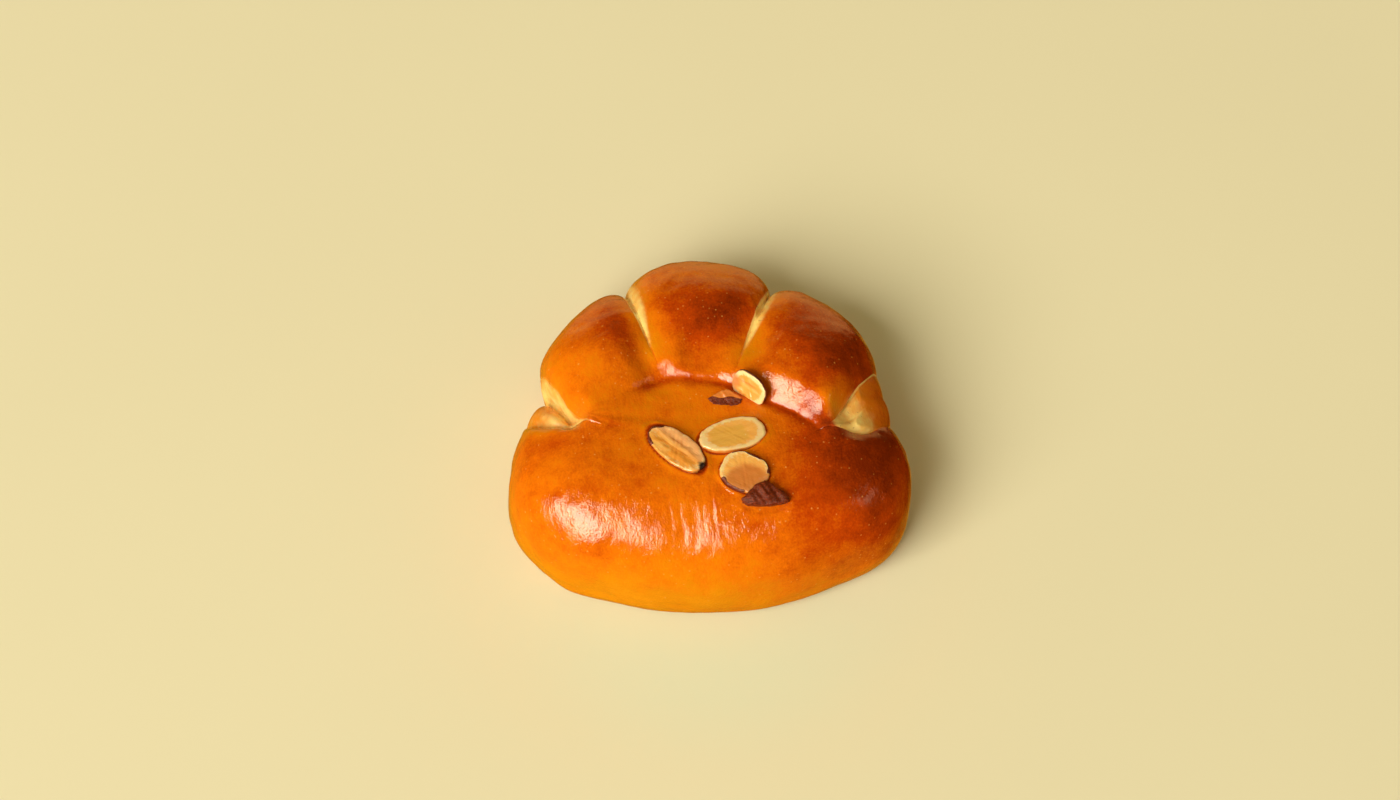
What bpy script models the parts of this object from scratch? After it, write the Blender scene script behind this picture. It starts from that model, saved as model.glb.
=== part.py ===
"""Custard bun shaped like a mitten, with six pieces of sliced almond baked into its top.

One closed body of dough: a smooth roll along the front, and three puffy lobes at the back that
four slits part from each other and from the roll. The part rests on its flat base at z = 0, with
the middle of its outline at the origin, the roll towards -Y and the long side along X.
"""

import bpy
import numpy as np

MM = 0.001

# ---- Driving dimensions of the dough, in millimetres and degrees ----------------------------
# The outline and the slits are drawn as a fan: angles and distances are taken from one middle
# point on the crest of the roll.
FAN_X = -4.0
FAN_Y = -17.0

PANEL_HEIGHT = 35.0             # the sunk middle that the almonds lie on
ROLL_RISE = 6.0                 # crest of the front roll above the middle
LOBE_RISE = 3.8                 # crown of the middle and the left lobe above the middle
RIGHT_LOBE_RISE = 2.0
WIDEST_HEIGHT_FRONT = 12.0      # height at which the side is widest
WIDEST_HEIGHT_BACK = 14.0
TUCK_FRONT = 4.0                # how far the base lies inside the widest outline
TUCK_BACK = 6.5
SHOULDER = 30.0                 # run over which the side rounds up into the top
SHOULDER_POWER_FRONT = 2.9      # fullness of that rounding
SHOULDER_POWER_BACK = 2.4
LIP_RISE = 4.6                  # highest step from the sunk middle up to the feet of the lobes
DIMPLE = 2.2                    # depth of the dent where the left crease runs out

# Mounds over the level middle: rise, middle, reach along and across, turn, fullness along.
MOUNDS = [
    (ROLL_RISE, (0, -25), (58, 21), 0.0, 4.0),
    (1.5, (-34, 0), (14, 12), 0.0, 2.0),            # the roll's shoulders in front of the open slits
    (1.5, (44, -6), (12, 12), 0.0, 2.0),
    (LOBE_RISE, (0, 33), (18, 12), 0.0, 2.0),
    (RIGHT_LOBE_RISE, (35, 20), (15, 16), -30.0, 2.0),
    (LOBE_RISE, (-32, 20), (16, 15), 30.0, 2.0),
    (-DIMPLE, (-16.5, 14.5), (5, 6), 0.0, 2.0),
]

# Outline at its widest height: angle about the fan's middle point, radius.
OUTLINE = [
    (-90, 32.6), (-65, 35.2), (-44, 41.0), (-29, 48.0), (-15, 58.2), (4, 62.0), (20, 61.0),
    (35, 65.8), (50, 70.6), (65, 71.6), (80, 73.7), (95, 74.6), (110, 70.4), (125, 65.7),
    (138, 61.5), (152, 55.0), (170, 54.0), (190, 53.5), (210, 46.7), (230, 38.1), (250, 34.0),
]
# Foot of the step behind the sunk middle: angle, radius.
LIP = [
    (-20, 30.0), (15, 36.0), (28, 32.5), (48, 28.0), (70, 27.5), (90, 27.5), (108, 29.5),
    (124, 29.0), (150, 31.0), (200, 28.0), (250, 22.0),
]
# Share of the highest step that the foot has: angle, share.
LIP_STEP = [
    (-20, 0.0), (13, 0.0), (18, 0.12), (25, 0.85), (38, 1.0), (52, 0.95), (62, 0.60), (74, 0.30),
    (83, 0.05), (94, 0.05), (100, 0.34), (107, 0.50), (114, 0.32), (126, 0.16), (142, 0.0), (200, 0.0),
    (280, 0.0),
]
LIP_SHARE = 0.44                # share of the way out at which the grid of faces meets the lip
LIP_BEFORE = 0.8                # the step starts this far inside its foot
LIP_WIDTH = 6.0                 # run of the step, with what is added at the right and at the middle lobe
LIP_WIDER_RIGHT = 4.0
LIP_WIDER_MIDDLE = 2.0
GROOVE_DEPTH = 0.9              # fold that follows the foot of the step
GROOVE_INSIDE = 2.4             # its reach towards the middle and towards the lobe
GROOVE_OUTSIDE = 1.0
GROOVE_STARTS = (4, 22)         # angles over which it fades in and out
GROOVE_ENDS = (118, 142)

# The four slits, counter-clockwise: the wide right one, two closed creases, the wide left one.
SLITS = {
    "angle_inside": (14.8, 68.5, 110.5, 158.2),     # direction near the fan's middle point
    "angle_outside": (27.2, 70.5, 109.0, 150.5),    # direction at the outline
    "angle_power": (3.5, 1.0, 1.0, 5.5),            # how late it bends from one to the other
    "start": (0.48, 0.46, 0.46, 0.46),              # share of the way out at which it opens
    "half_width": (9.0, 0.3, 0.3, 6.4),             # of its bottom, at the outline
    "opening_power": (1.4, 1.3, 1.3, 2.1),          # how late it opens
    "bottom": (32.5, 34.5, 34.5, 25.5),             # height of its bottom, inside
    "bottom_edge": (24.0, 19.0, 19.0, 9.5),         # height of its bottom, at the outline
    "bottom_run": (14.0, 17.0, 17.0, 17.0),         # run over which the bottom rounds up
    # two swollen layers of dough fill an open slit; the fold between them lies at this place
    "fold": (0.1, 0.0, 0.0, -0.7),                  # from -1 at its right-hand side to 1
    "swell_before": (3.2, 0.0, 0.0, 0.3),           # rise of the right-hand layer
    "swell_after": (1.0, 0.0, 0.0, 4.4),            # rise of the left-hand layer
    "notch_before": (1.6, 7.0, 5.0, 5.5),           # how far its right-hand side is cut back
    "notch_after": (1.6, 7.0, 5.0, 0.0),            # and its left-hand side
    "notch_width": (8.0, 10.0, 10.0, 8.0),          # over which the outline rounds into it
    "round_before": (4.5, 10.0, 10.0, 6.5),         # rounding of the dough on its right-hand side
    "round_after": (5.0, 10.0, 10.0, 4.5),          # and on its left-hand side
    "sharpness": (1.0, 0.45, 0.45, 1.0),            # how upright its walls are at the bottom
    "droop_before": (0.5, 1.5, 1.5, 4.5),           # fall of the crown towards it, same sides
    "droop_after": (4.5, 1.5, 1.5, 0.5),
}
DROOP_WIDTH = 8.0
DROOP_BEGINS = (0.04, 0.36)     # share beyond a slit's start over which the droop, the depth and
DEEP = (0.0, 0.25)              # the sharpness of its walls set in
SHARP = (0.05, 0.27)
WALL_POWER = 2.4                # fullness of the rounding of a sharp wall
SWELL_OUTWARD = 0.3             # share of a layer's rise by which it also stands out at the outline
WIDEST_HALF_ANGLE = 9.0         # half width of a slit at the most, in degrees
HAIRLINE = 0.12                 # half width of a slit where it is shut

# ---- Fineness of the faces ------------------------------------------------------------------
FACES_ACROSS_LOBES = (18, 16, 18, 46)   # right, middle and left lobe, then the roll
FACES_ACROSS_SLITS = (8, 2, 2, 8)
ROWS_TOP = 31
ROWS_SIDE = 6
ROWS_BASE = 2
CROWDING = 0.55                 # share of the faces' spacing that narrows towards the edges

# ---- Almond pieces: sizes in millimetres, directions in degrees, places on the fan's axes ----
# centre: x, y and height; heading: direction of the length; lean: how far the face leans over,
# and the direction that it leans to; blunt: power of its outline on the two sides of its length,
# 2 for an ellipse; sides: breadth of those two sides against half the width.
GAP = 0.3                       # clear space between an almond and the dough around it
ALMONDS = {
    "almond_slice_left": {
        "size": (20.4, 10.0, 1.5), "centre": (-9.6, -14.6, 39.95), "heading": -45.0,
        "lean": 10.0, "lean_to": 90.0, "taper": 0.06, "blunt": (2.1, 2.2), "sides": (1.0, 1.0)},
    "almond_slice_right": {
        "size": (19.4, 11.2, 1.6), "centre": (5.9, -10.0, 38.9), "heading": 17.0,
        "lean": 11.0, "lean_to": 90.0, "taper": 0.16, "blunt": (2.3, 2.2), "sides": (1.0, 1.0)},
    "almond_slice_front": {
        "size": (13.8, 12.2, 1.6), "centre": (9.4, -22.6, 41.2), "heading": -30.0,
        "lean": 3.5, "lean_to": 87.0, "taper": 0.05, "blunt": (2.4, 2.7), "sides": (1.0, 1.0)},
    "almond_skin_piece": {
        "size": (13.2, 7.0, 3.0), "centre": (15.4, -31.6, 40.7), "heading": 2.0,
        "lean": 16.0, "lean_to": -88.0, "taper": 0.05, "blunt": (1.35, 2.3), "sides": (0.85, 0.62)},
    "almond_slice_tilted": {
        "size": (11.6, 9.2, 1.4), "centre": (11.0, 5.8, 37.9), "heading": -40.0,
        "lean": 62.0, "lean_to": -130.0, "taper": 0.0, "blunt": (2.7, 2.1), "sides": (1.0, 1.0)},
    "almond_slice_sunk": {
        "size": (9.8, 5.2, 1.8), "centre": (4.3, 3.0, 35.9), "heading": -2.0,
        "lean": 14.0, "lean_to": -90.0, "taper": 0.0, "blunt": (1.15, 2.4), "sides": (1.2, 0.8)},
}
ALMOND_SIDES = 24

# ---- Colours ----------------------------------------------------------------------------------
CRUST_COLOUR = (0.62, 0.17, 0.015)
ALMOND_COLOUR = (0.87, 0.52, 0.17)
SKIN_COLOUR = (0.22, 0.04, 0.01)


# ---- Curves and blends ------------------------------------------------------------------------
def smoothstep(low, high, value):
    """Blend that leaves 0 at low and reaches 1 at high, level at both ends."""
    t = np.clip((value - low) / (high - low), 0.0, 1.0)
    return t * t * (3.0 - 2.0 * t)


def arch(t, power=2.0):
    """Quarter of a superellipse: upright at 0, level at 1."""
    return (1.0 - (1.0 - np.clip(t, 0.0, 1.0)) ** power) ** (1.0 / power)


def mound(x, y, centre, size, turn=0.0, power=2.0):
    """Bell over the plan, 1 at its centre; power shapes it along its first direction."""
    turn = np.radians(turn)
    dx = x - centre[0]
    dy = y - centre[1]
    along = np.abs(dx * np.cos(turn) + dy * np.sin(turn)) / size[0]
    across = (dy * np.cos(turn) - dx * np.sin(turn)) / size[1]
    return np.exp(-along ** power - across ** 2)


def round_curve(points, angle):
    """Smooth closed curve through (angle, radius) points, read at any angle in degrees."""
    angles = np.array([p[0] for p in points], float)
    radii = np.array([p[1] for p in points], float)
    angles = np.concatenate([angles - 360.0, angles, angles + 360.0])
    radii = np.tile(radii, 3)
    slopes = np.gradient(radii, angles)
    angle = (angle - points[0][0]) % 360.0 + points[0][0]
    i = np.clip(np.searchsorted(angles, angle, side="right") - 1, 0, len(angles) - 2)
    step = angles[i + 1] - angles[i]
    t = (angle - angles[i]) / step
    start = (2 * t ** 3 - 3 * t ** 2 + 1) * radii[i] + (t ** 3 - 2 * t ** 2 + t) * step * slopes[i]
    end = (3 * t ** 2 - 2 * t ** 3) * radii[i + 1] + (t ** 3 - t ** 2) * step * slopes[i + 1]
    return start + end


# ---- The dough ----------------------------------------------------------------------------------
def crown(x, y, angle, radius):
    """Height of the dough's top before its sides and slits are rounded off: a level middle with a
    long mound for the roll, one for each lobe, and a step with a groove at the lobes' feet."""
    z = PANEL_HEIGHT + 0.0 * x
    for rise, middle, reach, turn, fullness in MOUNDS:
        z = z + rise * mound(x, y, middle, reach, turn, fullness)

    past = radius - round_curve(LIP, angle)
    around = (angle + 90.0) % 360.0 - 90.0
    present = smoothstep(*GROOVE_STARTS, around) * (1 - smoothstep(*GROOVE_ENDS, around))
    width = LIP_WIDTH + LIP_WIDER_RIGHT * (1 - smoothstep(52, 70, around))
    width = width + LIP_WIDER_MIDDLE * np.exp(-((around - 90) / 9) ** 2)
    step = smoothstep(0.0, 1.0, (past + LIP_BEFORE) / width)
    step = step * np.exp(-(np.maximum(past - width, 0) / (1.4 * width + 5.0)) ** 2)
    step = step * np.maximum(round_curve(LIP_STEP, angle), 0.0)
    groove = np.exp(-(np.minimum(past, 0) / GROOVE_INSIDE) ** 2 - (np.maximum(past, 0) / GROOVE_OUTSIDE) ** 2)
    return z + LIP_RISE * step - GROOVE_DEPTH * present * groove


def crowded(even):
    """Even steps within -1..1, moved so that they lie closer together towards the ends."""
    return CROWDING * np.sin(even * np.pi / 2) + (1 - CROWDING) * even


def columns():
    """Slit or lobe number of each column of faces, whether it is in a slit, and its place -1..1."""
    number, in_slit, place = [], [], []
    for k in range(4):
        across = np.linspace(-1, 1, FACES_ACROSS_SLITS[k] + 1)[:-1]
        number += [k] * len(across)
        in_slit += [True] * len(across)
        place += list(across)
        across = np.linspace(-1, 1, FACES_ACROSS_LOBES[k] + 1)[:-1]
        number += [k] * len(across)
        in_slit += [False] * len(across)
        place += list(crowded(across))
    return np.array(number), np.array(in_slit)[:, None], np.array(place)[:, None]


def fan_grid(share):
    """Angle, radius and distances to the two slits of a lobe, for each column and share.

    A column's angle lies between those of its two slits, by its place; its radius is the
    outline's at that angle times the share, drawn in so that one row of faces follows the lip,
    less a rounded notch beside each slit."""
    number, in_slit, place = columns()
    after = (number + 1) % 4
    slit = {key: np.array(values, float)[:, None] for key, values in SLITS.items()}

    bend = share ** slit["angle_power"]
    middle = slit["angle_inside"] + (slit["angle_outside"] - slit["angle_inside"]) * bend
    opened = np.clip((share - slit["start"]) / (1 - slit["start"]), 0, 1)
    half = slit["half_width"] * np.tanh(1.5 * opened ** slit["opening_power"]) / np.tanh(1.5) + HAIRLINE
    half = np.degrees(half / np.maximum(round_curve(OUTLINE, middle) * share, 1.0))
    half = np.minimum(half, WIDEST_HALF_ANGLE)

    full_turn = np.where(after == 0, 360.0, 0.0)[:, None]
    local = np.where(number == 3, 8, 2)[:, None]
    to_left, to_right = (1 - place) / 2, (1 + place) / 2
    in_lobe = middle[number] * to_left + (middle[after] + full_turn) * to_right
    in_lobe = in_lobe + half[number] * to_left ** local - half[after] * to_right ** local
    angle = np.where(in_slit, middle[number] + half[number] * place, in_lobe)

    outline = round_curve(OUTLINE, angle)
    pull = np.where(share < LIP_SHARE, smoothstep(0, LIP_SHARE, share),
                    1 - smoothstep(LIP_SHARE, 0.95, share))
    radius = outline * share + (round_curve(LIP, angle) - outline * LIP_SHARE) * pull

    first = np.maximum(np.radians(angle - middle[number] - half[number]), 0) * radius
    last = np.maximum(np.radians(middle[after] + full_turn - half[after] - angle), 0) * radius
    first = np.where(in_slit, 0.0, first)
    last = np.where(in_slit, 0.0, last)

    notch = slit["notch_after"][number] * (1 - arch(first[:, -1:] / slit["notch_width"][number]))
    notch = notch + slit["notch_before"][after] * (1 - arch(last[:, -1:] / slit["notch_width"][after]))
    notch_in_slit = slit["notch_before"][number] * (1 - place) / 2
    notch_in_slit = notch_in_slit + slit["notch_after"][number] * (1 + place) / 2
    notch = np.where(in_slit, notch_in_slit, notch)
    bulge = np.where(in_slit, SWELL_OUTWARD * slit_layers(place, slit, number), 0.0)
    bulge = bulge * smoothstep(0, 0.6, opened[number])
    inward = radius[:, -1:] - radius - notch * (1 - share ** 3) * smoothstep(0.45, 0.85, share)
    radius = radius - (notch - bulge) * share ** 3
    return number, after, in_slit, place, slit, opened, angle, radius, inward, first, last


def slit_layers(place, slit, number):
    """Height of the two swollen layers across an open slit: a parabola on each side of the fold."""
    fold = slit["fold"][number]
    before = slit["swell_before"][number] * (1 - ((2 * place + 1 - fold) / (1 + fold)) ** 2)
    behind = slit["swell_after"][number] * (1 - ((2 * place - 1 - fold) / (1 - fold)) ** 2)
    return np.where(place < fold, before, behind)


def top_surface():
    """Points of the top, one row of the array for each column of faces, middle to outline.

    The height is the crown's, rounded down to the widest height over the shoulder's run, and
    drawn down towards the bottom of each slit along the rounding of its two walls."""
    steps = np.linspace(0, 1, ROWS_TOP)
    share = crowded(steps)[None, :]
    number, after, in_slit, place, slit, opened, angle, radius, inward, first, last = fan_grid(share)

    x = FAN_X + radius * np.cos(np.radians(angle))
    y = FAN_Y + radius * np.sin(np.radians(angle))
    top = crown(x, y, angle, radius)
    begun = smoothstep(*DROOP_BEGINS, share - slit["start"])
    droop = begun[number] * slit["droop_after"][number] * np.exp(-(first / DROOP_WIDTH) ** 1.5)
    droop = droop + begun[after] * slit["droop_before"][after] * np.exp(-(last / DROOP_WIDTH) ** 1.5)
    droop_in_slit = slit["droop_before"][number] * (1 - place) / 2
    droop_in_slit = droop_in_slit + slit["droop_after"][number] * (1 + place) / 2
    top = top - np.where(in_slit, begun[number] * droop_in_slit, droop)

    facing_front = 0.5 - 0.5 * np.sin(np.radians(angle[:, -1:]))
    widest = WIDEST_HEIGHT_BACK + (WIDEST_HEIGHT_FRONT - WIDEST_HEIGHT_BACK) * facing_front
    power = SHOULDER_POWER_BACK + (SHOULDER_POWER_FRONT - SHOULDER_POWER_BACK) * facing_front
    dough = widest + (top - widest) * arch(inward / SHOULDER, power)

    deep = smoothstep(*DEEP, share - slit["start"])
    sharp = smoothstep(*SHARP, share - slit["start"])

    def bottom_of(k):
        inside = top - (top - slit["bottom"][k]) * deep[k]
        edge = slit["bottom_edge"][k]
        return edge + (inside - edge) * arch(inward / slit["bottom_run"][k])

    def wall(distance, rounding, k):
        soft = smoothstep(0, rounding, distance)
        return soft + (arch(distance / rounding, WALL_POWER) - soft) * sharp[k] * slit["sharpness"][k]

    swell = slit_layers(place, slit, number) * smoothstep(0.05, 0.6, opened[number])
    bottom_first = np.minimum(bottom_of(number) + np.where(in_slit, swell, 0.0), dough)
    bottom_last = np.minimum(bottom_of(after), dough)
    full_first = np.where(in_slit, 0.0, wall(first, slit["round_after"][number], number))
    full_last = np.where(in_slit, 1.0, wall(last, slit["round_before"][after], after))
    z = dough - (dough - bottom_first) * (1 - full_first) - (dough - bottom_last) * (1 - full_last)
    return np.stack([x, y, z], -1), angle[:, -1:], radius[:, -1:], facing_front


def dough_points():
    """All points of the dough: rows from the middle of the top, down the side, under the base."""
    top, angle, radius, facing_front = top_surface()
    turn = np.radians(angle)

    tuck = TUCK_BACK + (TUCK_FRONT - TUCK_BACK) * facing_front
    down = np.linspace(0, np.pi / 2, ROWS_SIDE + 1)[None, 1:]
    side_radius = radius - tuck + tuck * np.cos(down) ** 0.8
    side_height = top[:, -1:, 2] * (1 - np.sin(down))
    side = np.stack([side_radius * np.cos(turn), side_radius * np.sin(turn), side_height], -1)

    inward = np.linspace(1, 0, ROWS_BASE + 1)[None, 1:-1]
    base_radius = (radius - tuck) * inward
    base = np.stack([base_radius * np.cos(turn), base_radius * np.sin(turn), 0 * base_radius], -1)

    rings = np.concatenate([side, base], 1) + (FAN_X, FAN_Y, 0.0)
    return np.concatenate([top[:, 1:], rings], 1), top[:, 0].mean(0)


def closed_mesh(name, rings, first_pole, last_pole):
    """Mesh of columns of points joined round, with a fan of triangles at each pole."""
    around, along, _ = rings.shape
    points = np.concatenate([rings.reshape(-1, 3), [first_pole], [last_pole]])
    this = np.arange(around)
    following = (this + 1) % around
    step = np.arange(along - 1)
    a = this[:, None] * along + step
    b = following[:, None] * along + step
    quads = np.stack([a, a + 1, b + 1, b], -1).reshape(-1, 4).tolist()
    first = around * along
    fans = [(first, int(i) * along, int(j) * along) for i, j in zip(this, following)]
    fans += [(first + 1, int(j + 1) * along - 1, int(i + 1) * along - 1) for i, j in zip(this, following)]
    mesh = bpy.data.meshes.new(name)
    mesh.from_pydata((points * MM).tolist(), [], quads + fans)
    mesh.validate()
    return mesh


# ---- The almond pieces --------------------------------------------------------------------------
def slice_mesh(name, spec, centre_shift, grow=0.0):
    """Flat almond slice with a rounded rim, thicker and larger by grow on every side."""
    length, width, thickness = (size + 2 * grow for size in spec["size"])
    turn = np.linspace(0, 2 * np.pi, ALMOND_SIDES, endpoint=False)[:, None]
    power = 2 / np.where(np.sin(turn) > 0, *spec["blunt"])
    along = np.sign(np.cos(turn)) * np.abs(np.cos(turn)) ** power
    across = np.sign(np.sin(turn)) * np.abs(np.sin(turn)) ** power
    across = across * np.where(np.sin(turn) > 0, *spec["sides"]) * (1 + spec["taper"] * along)
    ring = np.array([0.55, 0.94, 1.0, 0.94, 0.55])[None, :]
    level = np.array([0.5, 0.46, 0.0, -0.46, -0.5])[None, :]
    local = np.stack([along * ring * length / 2, across * ring * width / 2,
                      level * thickness + 0 * along], -1)
    poles = np.array([[0, 0, thickness / 2], [0, 0, -thickness / 2]])

    heading = np.radians(spec["heading"])
    lean, lean_to = np.radians(spec["lean"]), np.radians(spec["lean_to"])
    normal = np.array([np.sin(lean) * np.cos(lean_to), np.sin(lean) * np.sin(lean_to), np.cos(lean)])
    forward = np.array([np.cos(heading), np.sin(heading), 0.0])
    forward = forward - normal * forward.dot(normal)
    forward = forward / np.linalg.norm(forward)
    frame = np.stack([forward, np.cross(normal, forward), normal])
    centre = np.array(spec["centre"]) - centre_shift
    return closed_mesh(name, local @ frame + centre, poles[0] @ frame + centre, poles[1] @ frame + centre)


# ---- Objects --------------------------------------------------------------------------------------
def material(name, colour, roughness, coat=0.0):
    """Principled material with one colour and gloss."""
    made = bpy.data.materials.new(name)
    made.use_nodes = True
    shader = made.node_tree.nodes["Principled BSDF"]
    shader.inputs["Base Color"].default_value = (*colour, 1.0)
    shader.inputs["Roughness"].default_value = roughness
    shader.inputs["Metallic"].default_value = 0.0
    shader.inputs["Coat Weight"].default_value = coat
    made.diffuse_color = (*colour, 1.0)
    return made


def add_object(name, mesh, surface):
    """Smooth-shaded object of a mesh, with its material, at the origin."""
    mesh.materials.append(surface)
    mesh.shade_smooth()
    mesh.set_sharp_from_angle(angle=np.radians(50))
    made = bpy.data.objects.new(name, mesh)
    bpy.context.scene.collection.objects.link(made)
    return made


def add_cutter(name, mesh):
    """Hidden guide object that a Boolean reads."""
    made = bpy.data.objects.new(name, mesh)
    made.hide_render = True
    made.display_type = "WIRE"
    bpy.context.scene.collection.objects.link(made)
    return made


def build():
    for old in list(bpy.data.objects):
        bpy.data.objects.remove(old, do_unlink=True)

    crust = material("crust", CRUST_COLOUR, 0.3, coat=0.6)
    almond = material("almond", ALMOND_COLOUR, 0.45)
    skin = material("almond_skin", SKIN_COLOUR, 0.6)

    rings, top_middle = dough_points()
    low, high = rings.reshape(-1, 3).min(0), rings.reshape(-1, 3).max(0)
    shift = np.array([(low[0] + high[0]) / 2, (low[1] + high[1]) / 2, 0.0])
    base_middle = np.array([FAN_X, FAN_Y, 0.0])
    bun = add_object("bun", closed_mesh("bun", rings - shift, top_middle - shift, base_middle - shift), crust)

    for name, spec in ALMONDS.items():
        surface = skin if name == "almond_skin_piece" else almond
        add_object(name, slice_mesh(name, spec, shift), surface)
        pocket = bun.modifiers.new("pocket_" + name, "BOOLEAN")
        pocket.operation = "DIFFERENCE"
        pocket.solver = "EXACT"
        pocket.object = add_cutter("room_for_" + name, slice_mesh(name + "_room", spec, shift, GAP))


build()
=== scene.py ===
"""Looks of a custard bun: a glazed, mitten-shaped bun with sliced almond on its sunk middle."""

import math

import bpy
import numpy as np
from bpy.props import FloatProperty, FloatVectorProperty, PointerProperty
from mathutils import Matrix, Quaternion, Vector


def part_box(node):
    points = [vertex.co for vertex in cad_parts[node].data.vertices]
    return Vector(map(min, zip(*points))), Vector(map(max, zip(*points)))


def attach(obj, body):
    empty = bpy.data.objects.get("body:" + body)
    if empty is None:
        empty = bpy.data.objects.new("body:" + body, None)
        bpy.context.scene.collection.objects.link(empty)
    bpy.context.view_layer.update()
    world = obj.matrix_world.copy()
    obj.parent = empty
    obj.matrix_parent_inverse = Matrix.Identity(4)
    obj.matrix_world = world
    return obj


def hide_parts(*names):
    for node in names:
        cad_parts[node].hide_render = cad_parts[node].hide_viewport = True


bl_info = {
    "name": "Custard Bun",
    "version": (1, 0, 0),
    "blender": (4, 5, 0),
    "location": "3D View > Sidebar > Bun",
    "description": "Builds a glazed mitten-shaped bun with sliced almond",
    "category": "Add Mesh",
}

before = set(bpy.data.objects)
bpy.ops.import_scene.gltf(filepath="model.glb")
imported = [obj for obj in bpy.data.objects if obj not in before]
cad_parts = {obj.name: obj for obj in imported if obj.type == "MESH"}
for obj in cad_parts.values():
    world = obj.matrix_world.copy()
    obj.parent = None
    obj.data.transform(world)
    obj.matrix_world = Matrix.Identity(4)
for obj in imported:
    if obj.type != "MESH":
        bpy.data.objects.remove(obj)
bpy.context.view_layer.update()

MM = 0.001
BODY = "root"

# ---- The dough's shape, in millimetres and degrees, as the solid has it ------------------------
# The outline and the slits are drawn as a fan: angles and distances are taken from one middle
# point on the crest of the roll.
FAN_X = -4.0
FAN_Y = -17.0
PANEL_HEIGHT = 35.0             # the sunk middle that the almonds lie on
WIDEST_HEIGHT_FRONT = 12.0      # height at which the side is widest
WIDEST_HEIGHT_BACK = 14.0
TUCK_FRONT = 4.0                # how far the base lies inside the widest outline
TUCK_BACK = 6.5
SHOULDER = 30.0                 # run over which the side rounds up into the top
SHOULDER_POWER_FRONT = 2.9      # fullness of that rounding
SHOULDER_POWER_BACK = 2.4
ROLL_END_RISE = 1.5             # swelling of the roll's two ends in front of the open slits
DIMPLE = 2.2                    # depth of the dent where the left crease runs out

# Mounds over the level middle: form, middle, reach along and across, turn, fullness along.
MOUNDS = (
    ("roll", (0, -25), (58, 21), 0.0, 4.0),
    ("roll_end", (-34, 0), (14, 12), 0.0, 2.0),
    ("roll_end", (44, -6), (12, 12), 0.0, 2.0),
    ("lobe", (0, 33), (18, 12), 0.0, 2.0),
    ("right_lobe", (35, 20), (15, 16), -30.0, 2.0),
    ("lobe", (-32, 20), (16, 15), 30.0, 2.0),
    ("dimple", (-16.5, 14.5), (5, 6), 0.0, 2.0),
)
# Outline at its widest height: angle about the fan's middle point, radius.
OUTLINE = [
    (-90, 32.6), (-65, 35.2), (-44, 41.0), (-29, 48.0), (-15, 58.2), (4, 62.0), (20, 61.0),
    (35, 65.8), (50, 70.6), (65, 71.6), (80, 73.7), (95, 74.6), (110, 70.4), (125, 65.7),
    (138, 61.5), (152, 55.0), (170, 54.0), (190, 53.5), (210, 46.7), (230, 38.1), (250, 34.0),
]
# Foot of the step behind the sunk middle: angle, radius.
LIP = [
    (-20, 30.0), (15, 36.0), (28, 32.5), (48, 28.0), (70, 27.5), (90, 27.5), (108, 29.5),
    (124, 29.0), (150, 31.0), (200, 28.0), (250, 22.0),
]
# Share of the highest step that the foot has: angle, share.
LIP_STEP = [
    (-20, 0.0), (13, 0.0), (18, 0.12), (25, 0.85), (38, 1.0), (52, 0.95), (62, 0.60), (74, 0.30),
    (83, 0.05), (94, 0.05), (100, 0.34), (107, 0.50), (114, 0.32), (126, 0.16), (142, 0.0), (200, 0.0),
    (280, 0.0),
]
LIP_SHARE = 0.44                # share of the way out at which the grid of faces meets the lip
LIP_BEFORE = 0.8                # the step starts this far inside its foot
LIP_WIDTH = 6.0                 # run of the step, with what is added at the right and at the middle lobe
LIP_WIDER_RIGHT = 4.0
LIP_WIDER_MIDDLE = 2.0
GROOVE_DEPTH = 0.9              # fold that follows the foot of the step
GROOVE_INSIDE = 2.4             # its reach towards the middle and towards the lobe
GROOVE_OUTSIDE = 1.0
GROOVE_STARTS = (4, 22)         # angles over which it fades in and out
GROOVE_ENDS = (118, 142)

# The four slits, counter-clockwise: the wide right one, two closed creases, the wide left one.
SLITS = {
    "angle_inside": (14.8, 68.5, 110.5, 158.2),     # direction near the fan's middle point
    "angle_outside": (27.2, 70.5, 109.0, 150.5),    # direction at the outline
    "angle_power": (3.5, 1.0, 1.0, 5.5),            # how late it bends from one to the other
    "start": (0.48, 0.46, 0.46, 0.46),              # share of the way out at which it opens
    "half_width": (9.0, 0.3, 0.3, 6.4),             # of its bottom, at the outline
    "opening_power": (1.4, 1.3, 1.3, 2.1),          # how late it opens
    "bottom": (32.5, 34.5, 34.5, 25.5),             # height of its bottom, inside
    "bottom_edge": (24.0, 19.0, 19.0, 9.5),         # height of its bottom, at the outline
    "bottom_run": (14.0, 17.0, 17.0, 17.0),         # run over which the bottom rounds up
    # two swollen layers of dough fill an open slit; the fold between them lies at this place
    "fold": (0.1, 0.0, 0.0, -0.7),                  # from -1 at its right-hand side to 1
    "swell_before": (3.2, 0.0, 0.0, 0.3),           # rise of the right-hand layer
    "swell_after": (1.0, 0.0, 0.0, 4.4),            # rise of the left-hand layer
    "notch_before": (1.6, 7.0, 5.0, 5.5),           # how far its right-hand side is cut back
    "notch_after": (1.6, 7.0, 5.0, 0.0),            # and its left-hand side
    "notch_width": (8.0, 10.0, 10.0, 8.0),          # over which the outline rounds into it
    "round_before": (4.5, 10.0, 10.0, 6.5),         # rounding of the dough on its right-hand side
    "round_after": (5.0, 10.0, 10.0, 4.5),          # and on its left-hand side
    "sharpness": (1.0, 0.45, 0.45, 1.0),            # how upright its walls are at the bottom
    "droop_before": (0.5, 1.5, 1.5, 4.5),           # fall of the crown towards it, same sides
    "droop_after": (4.5, 1.5, 1.5, 0.5),
}
DROOP_WIDTH = 8.0
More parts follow.
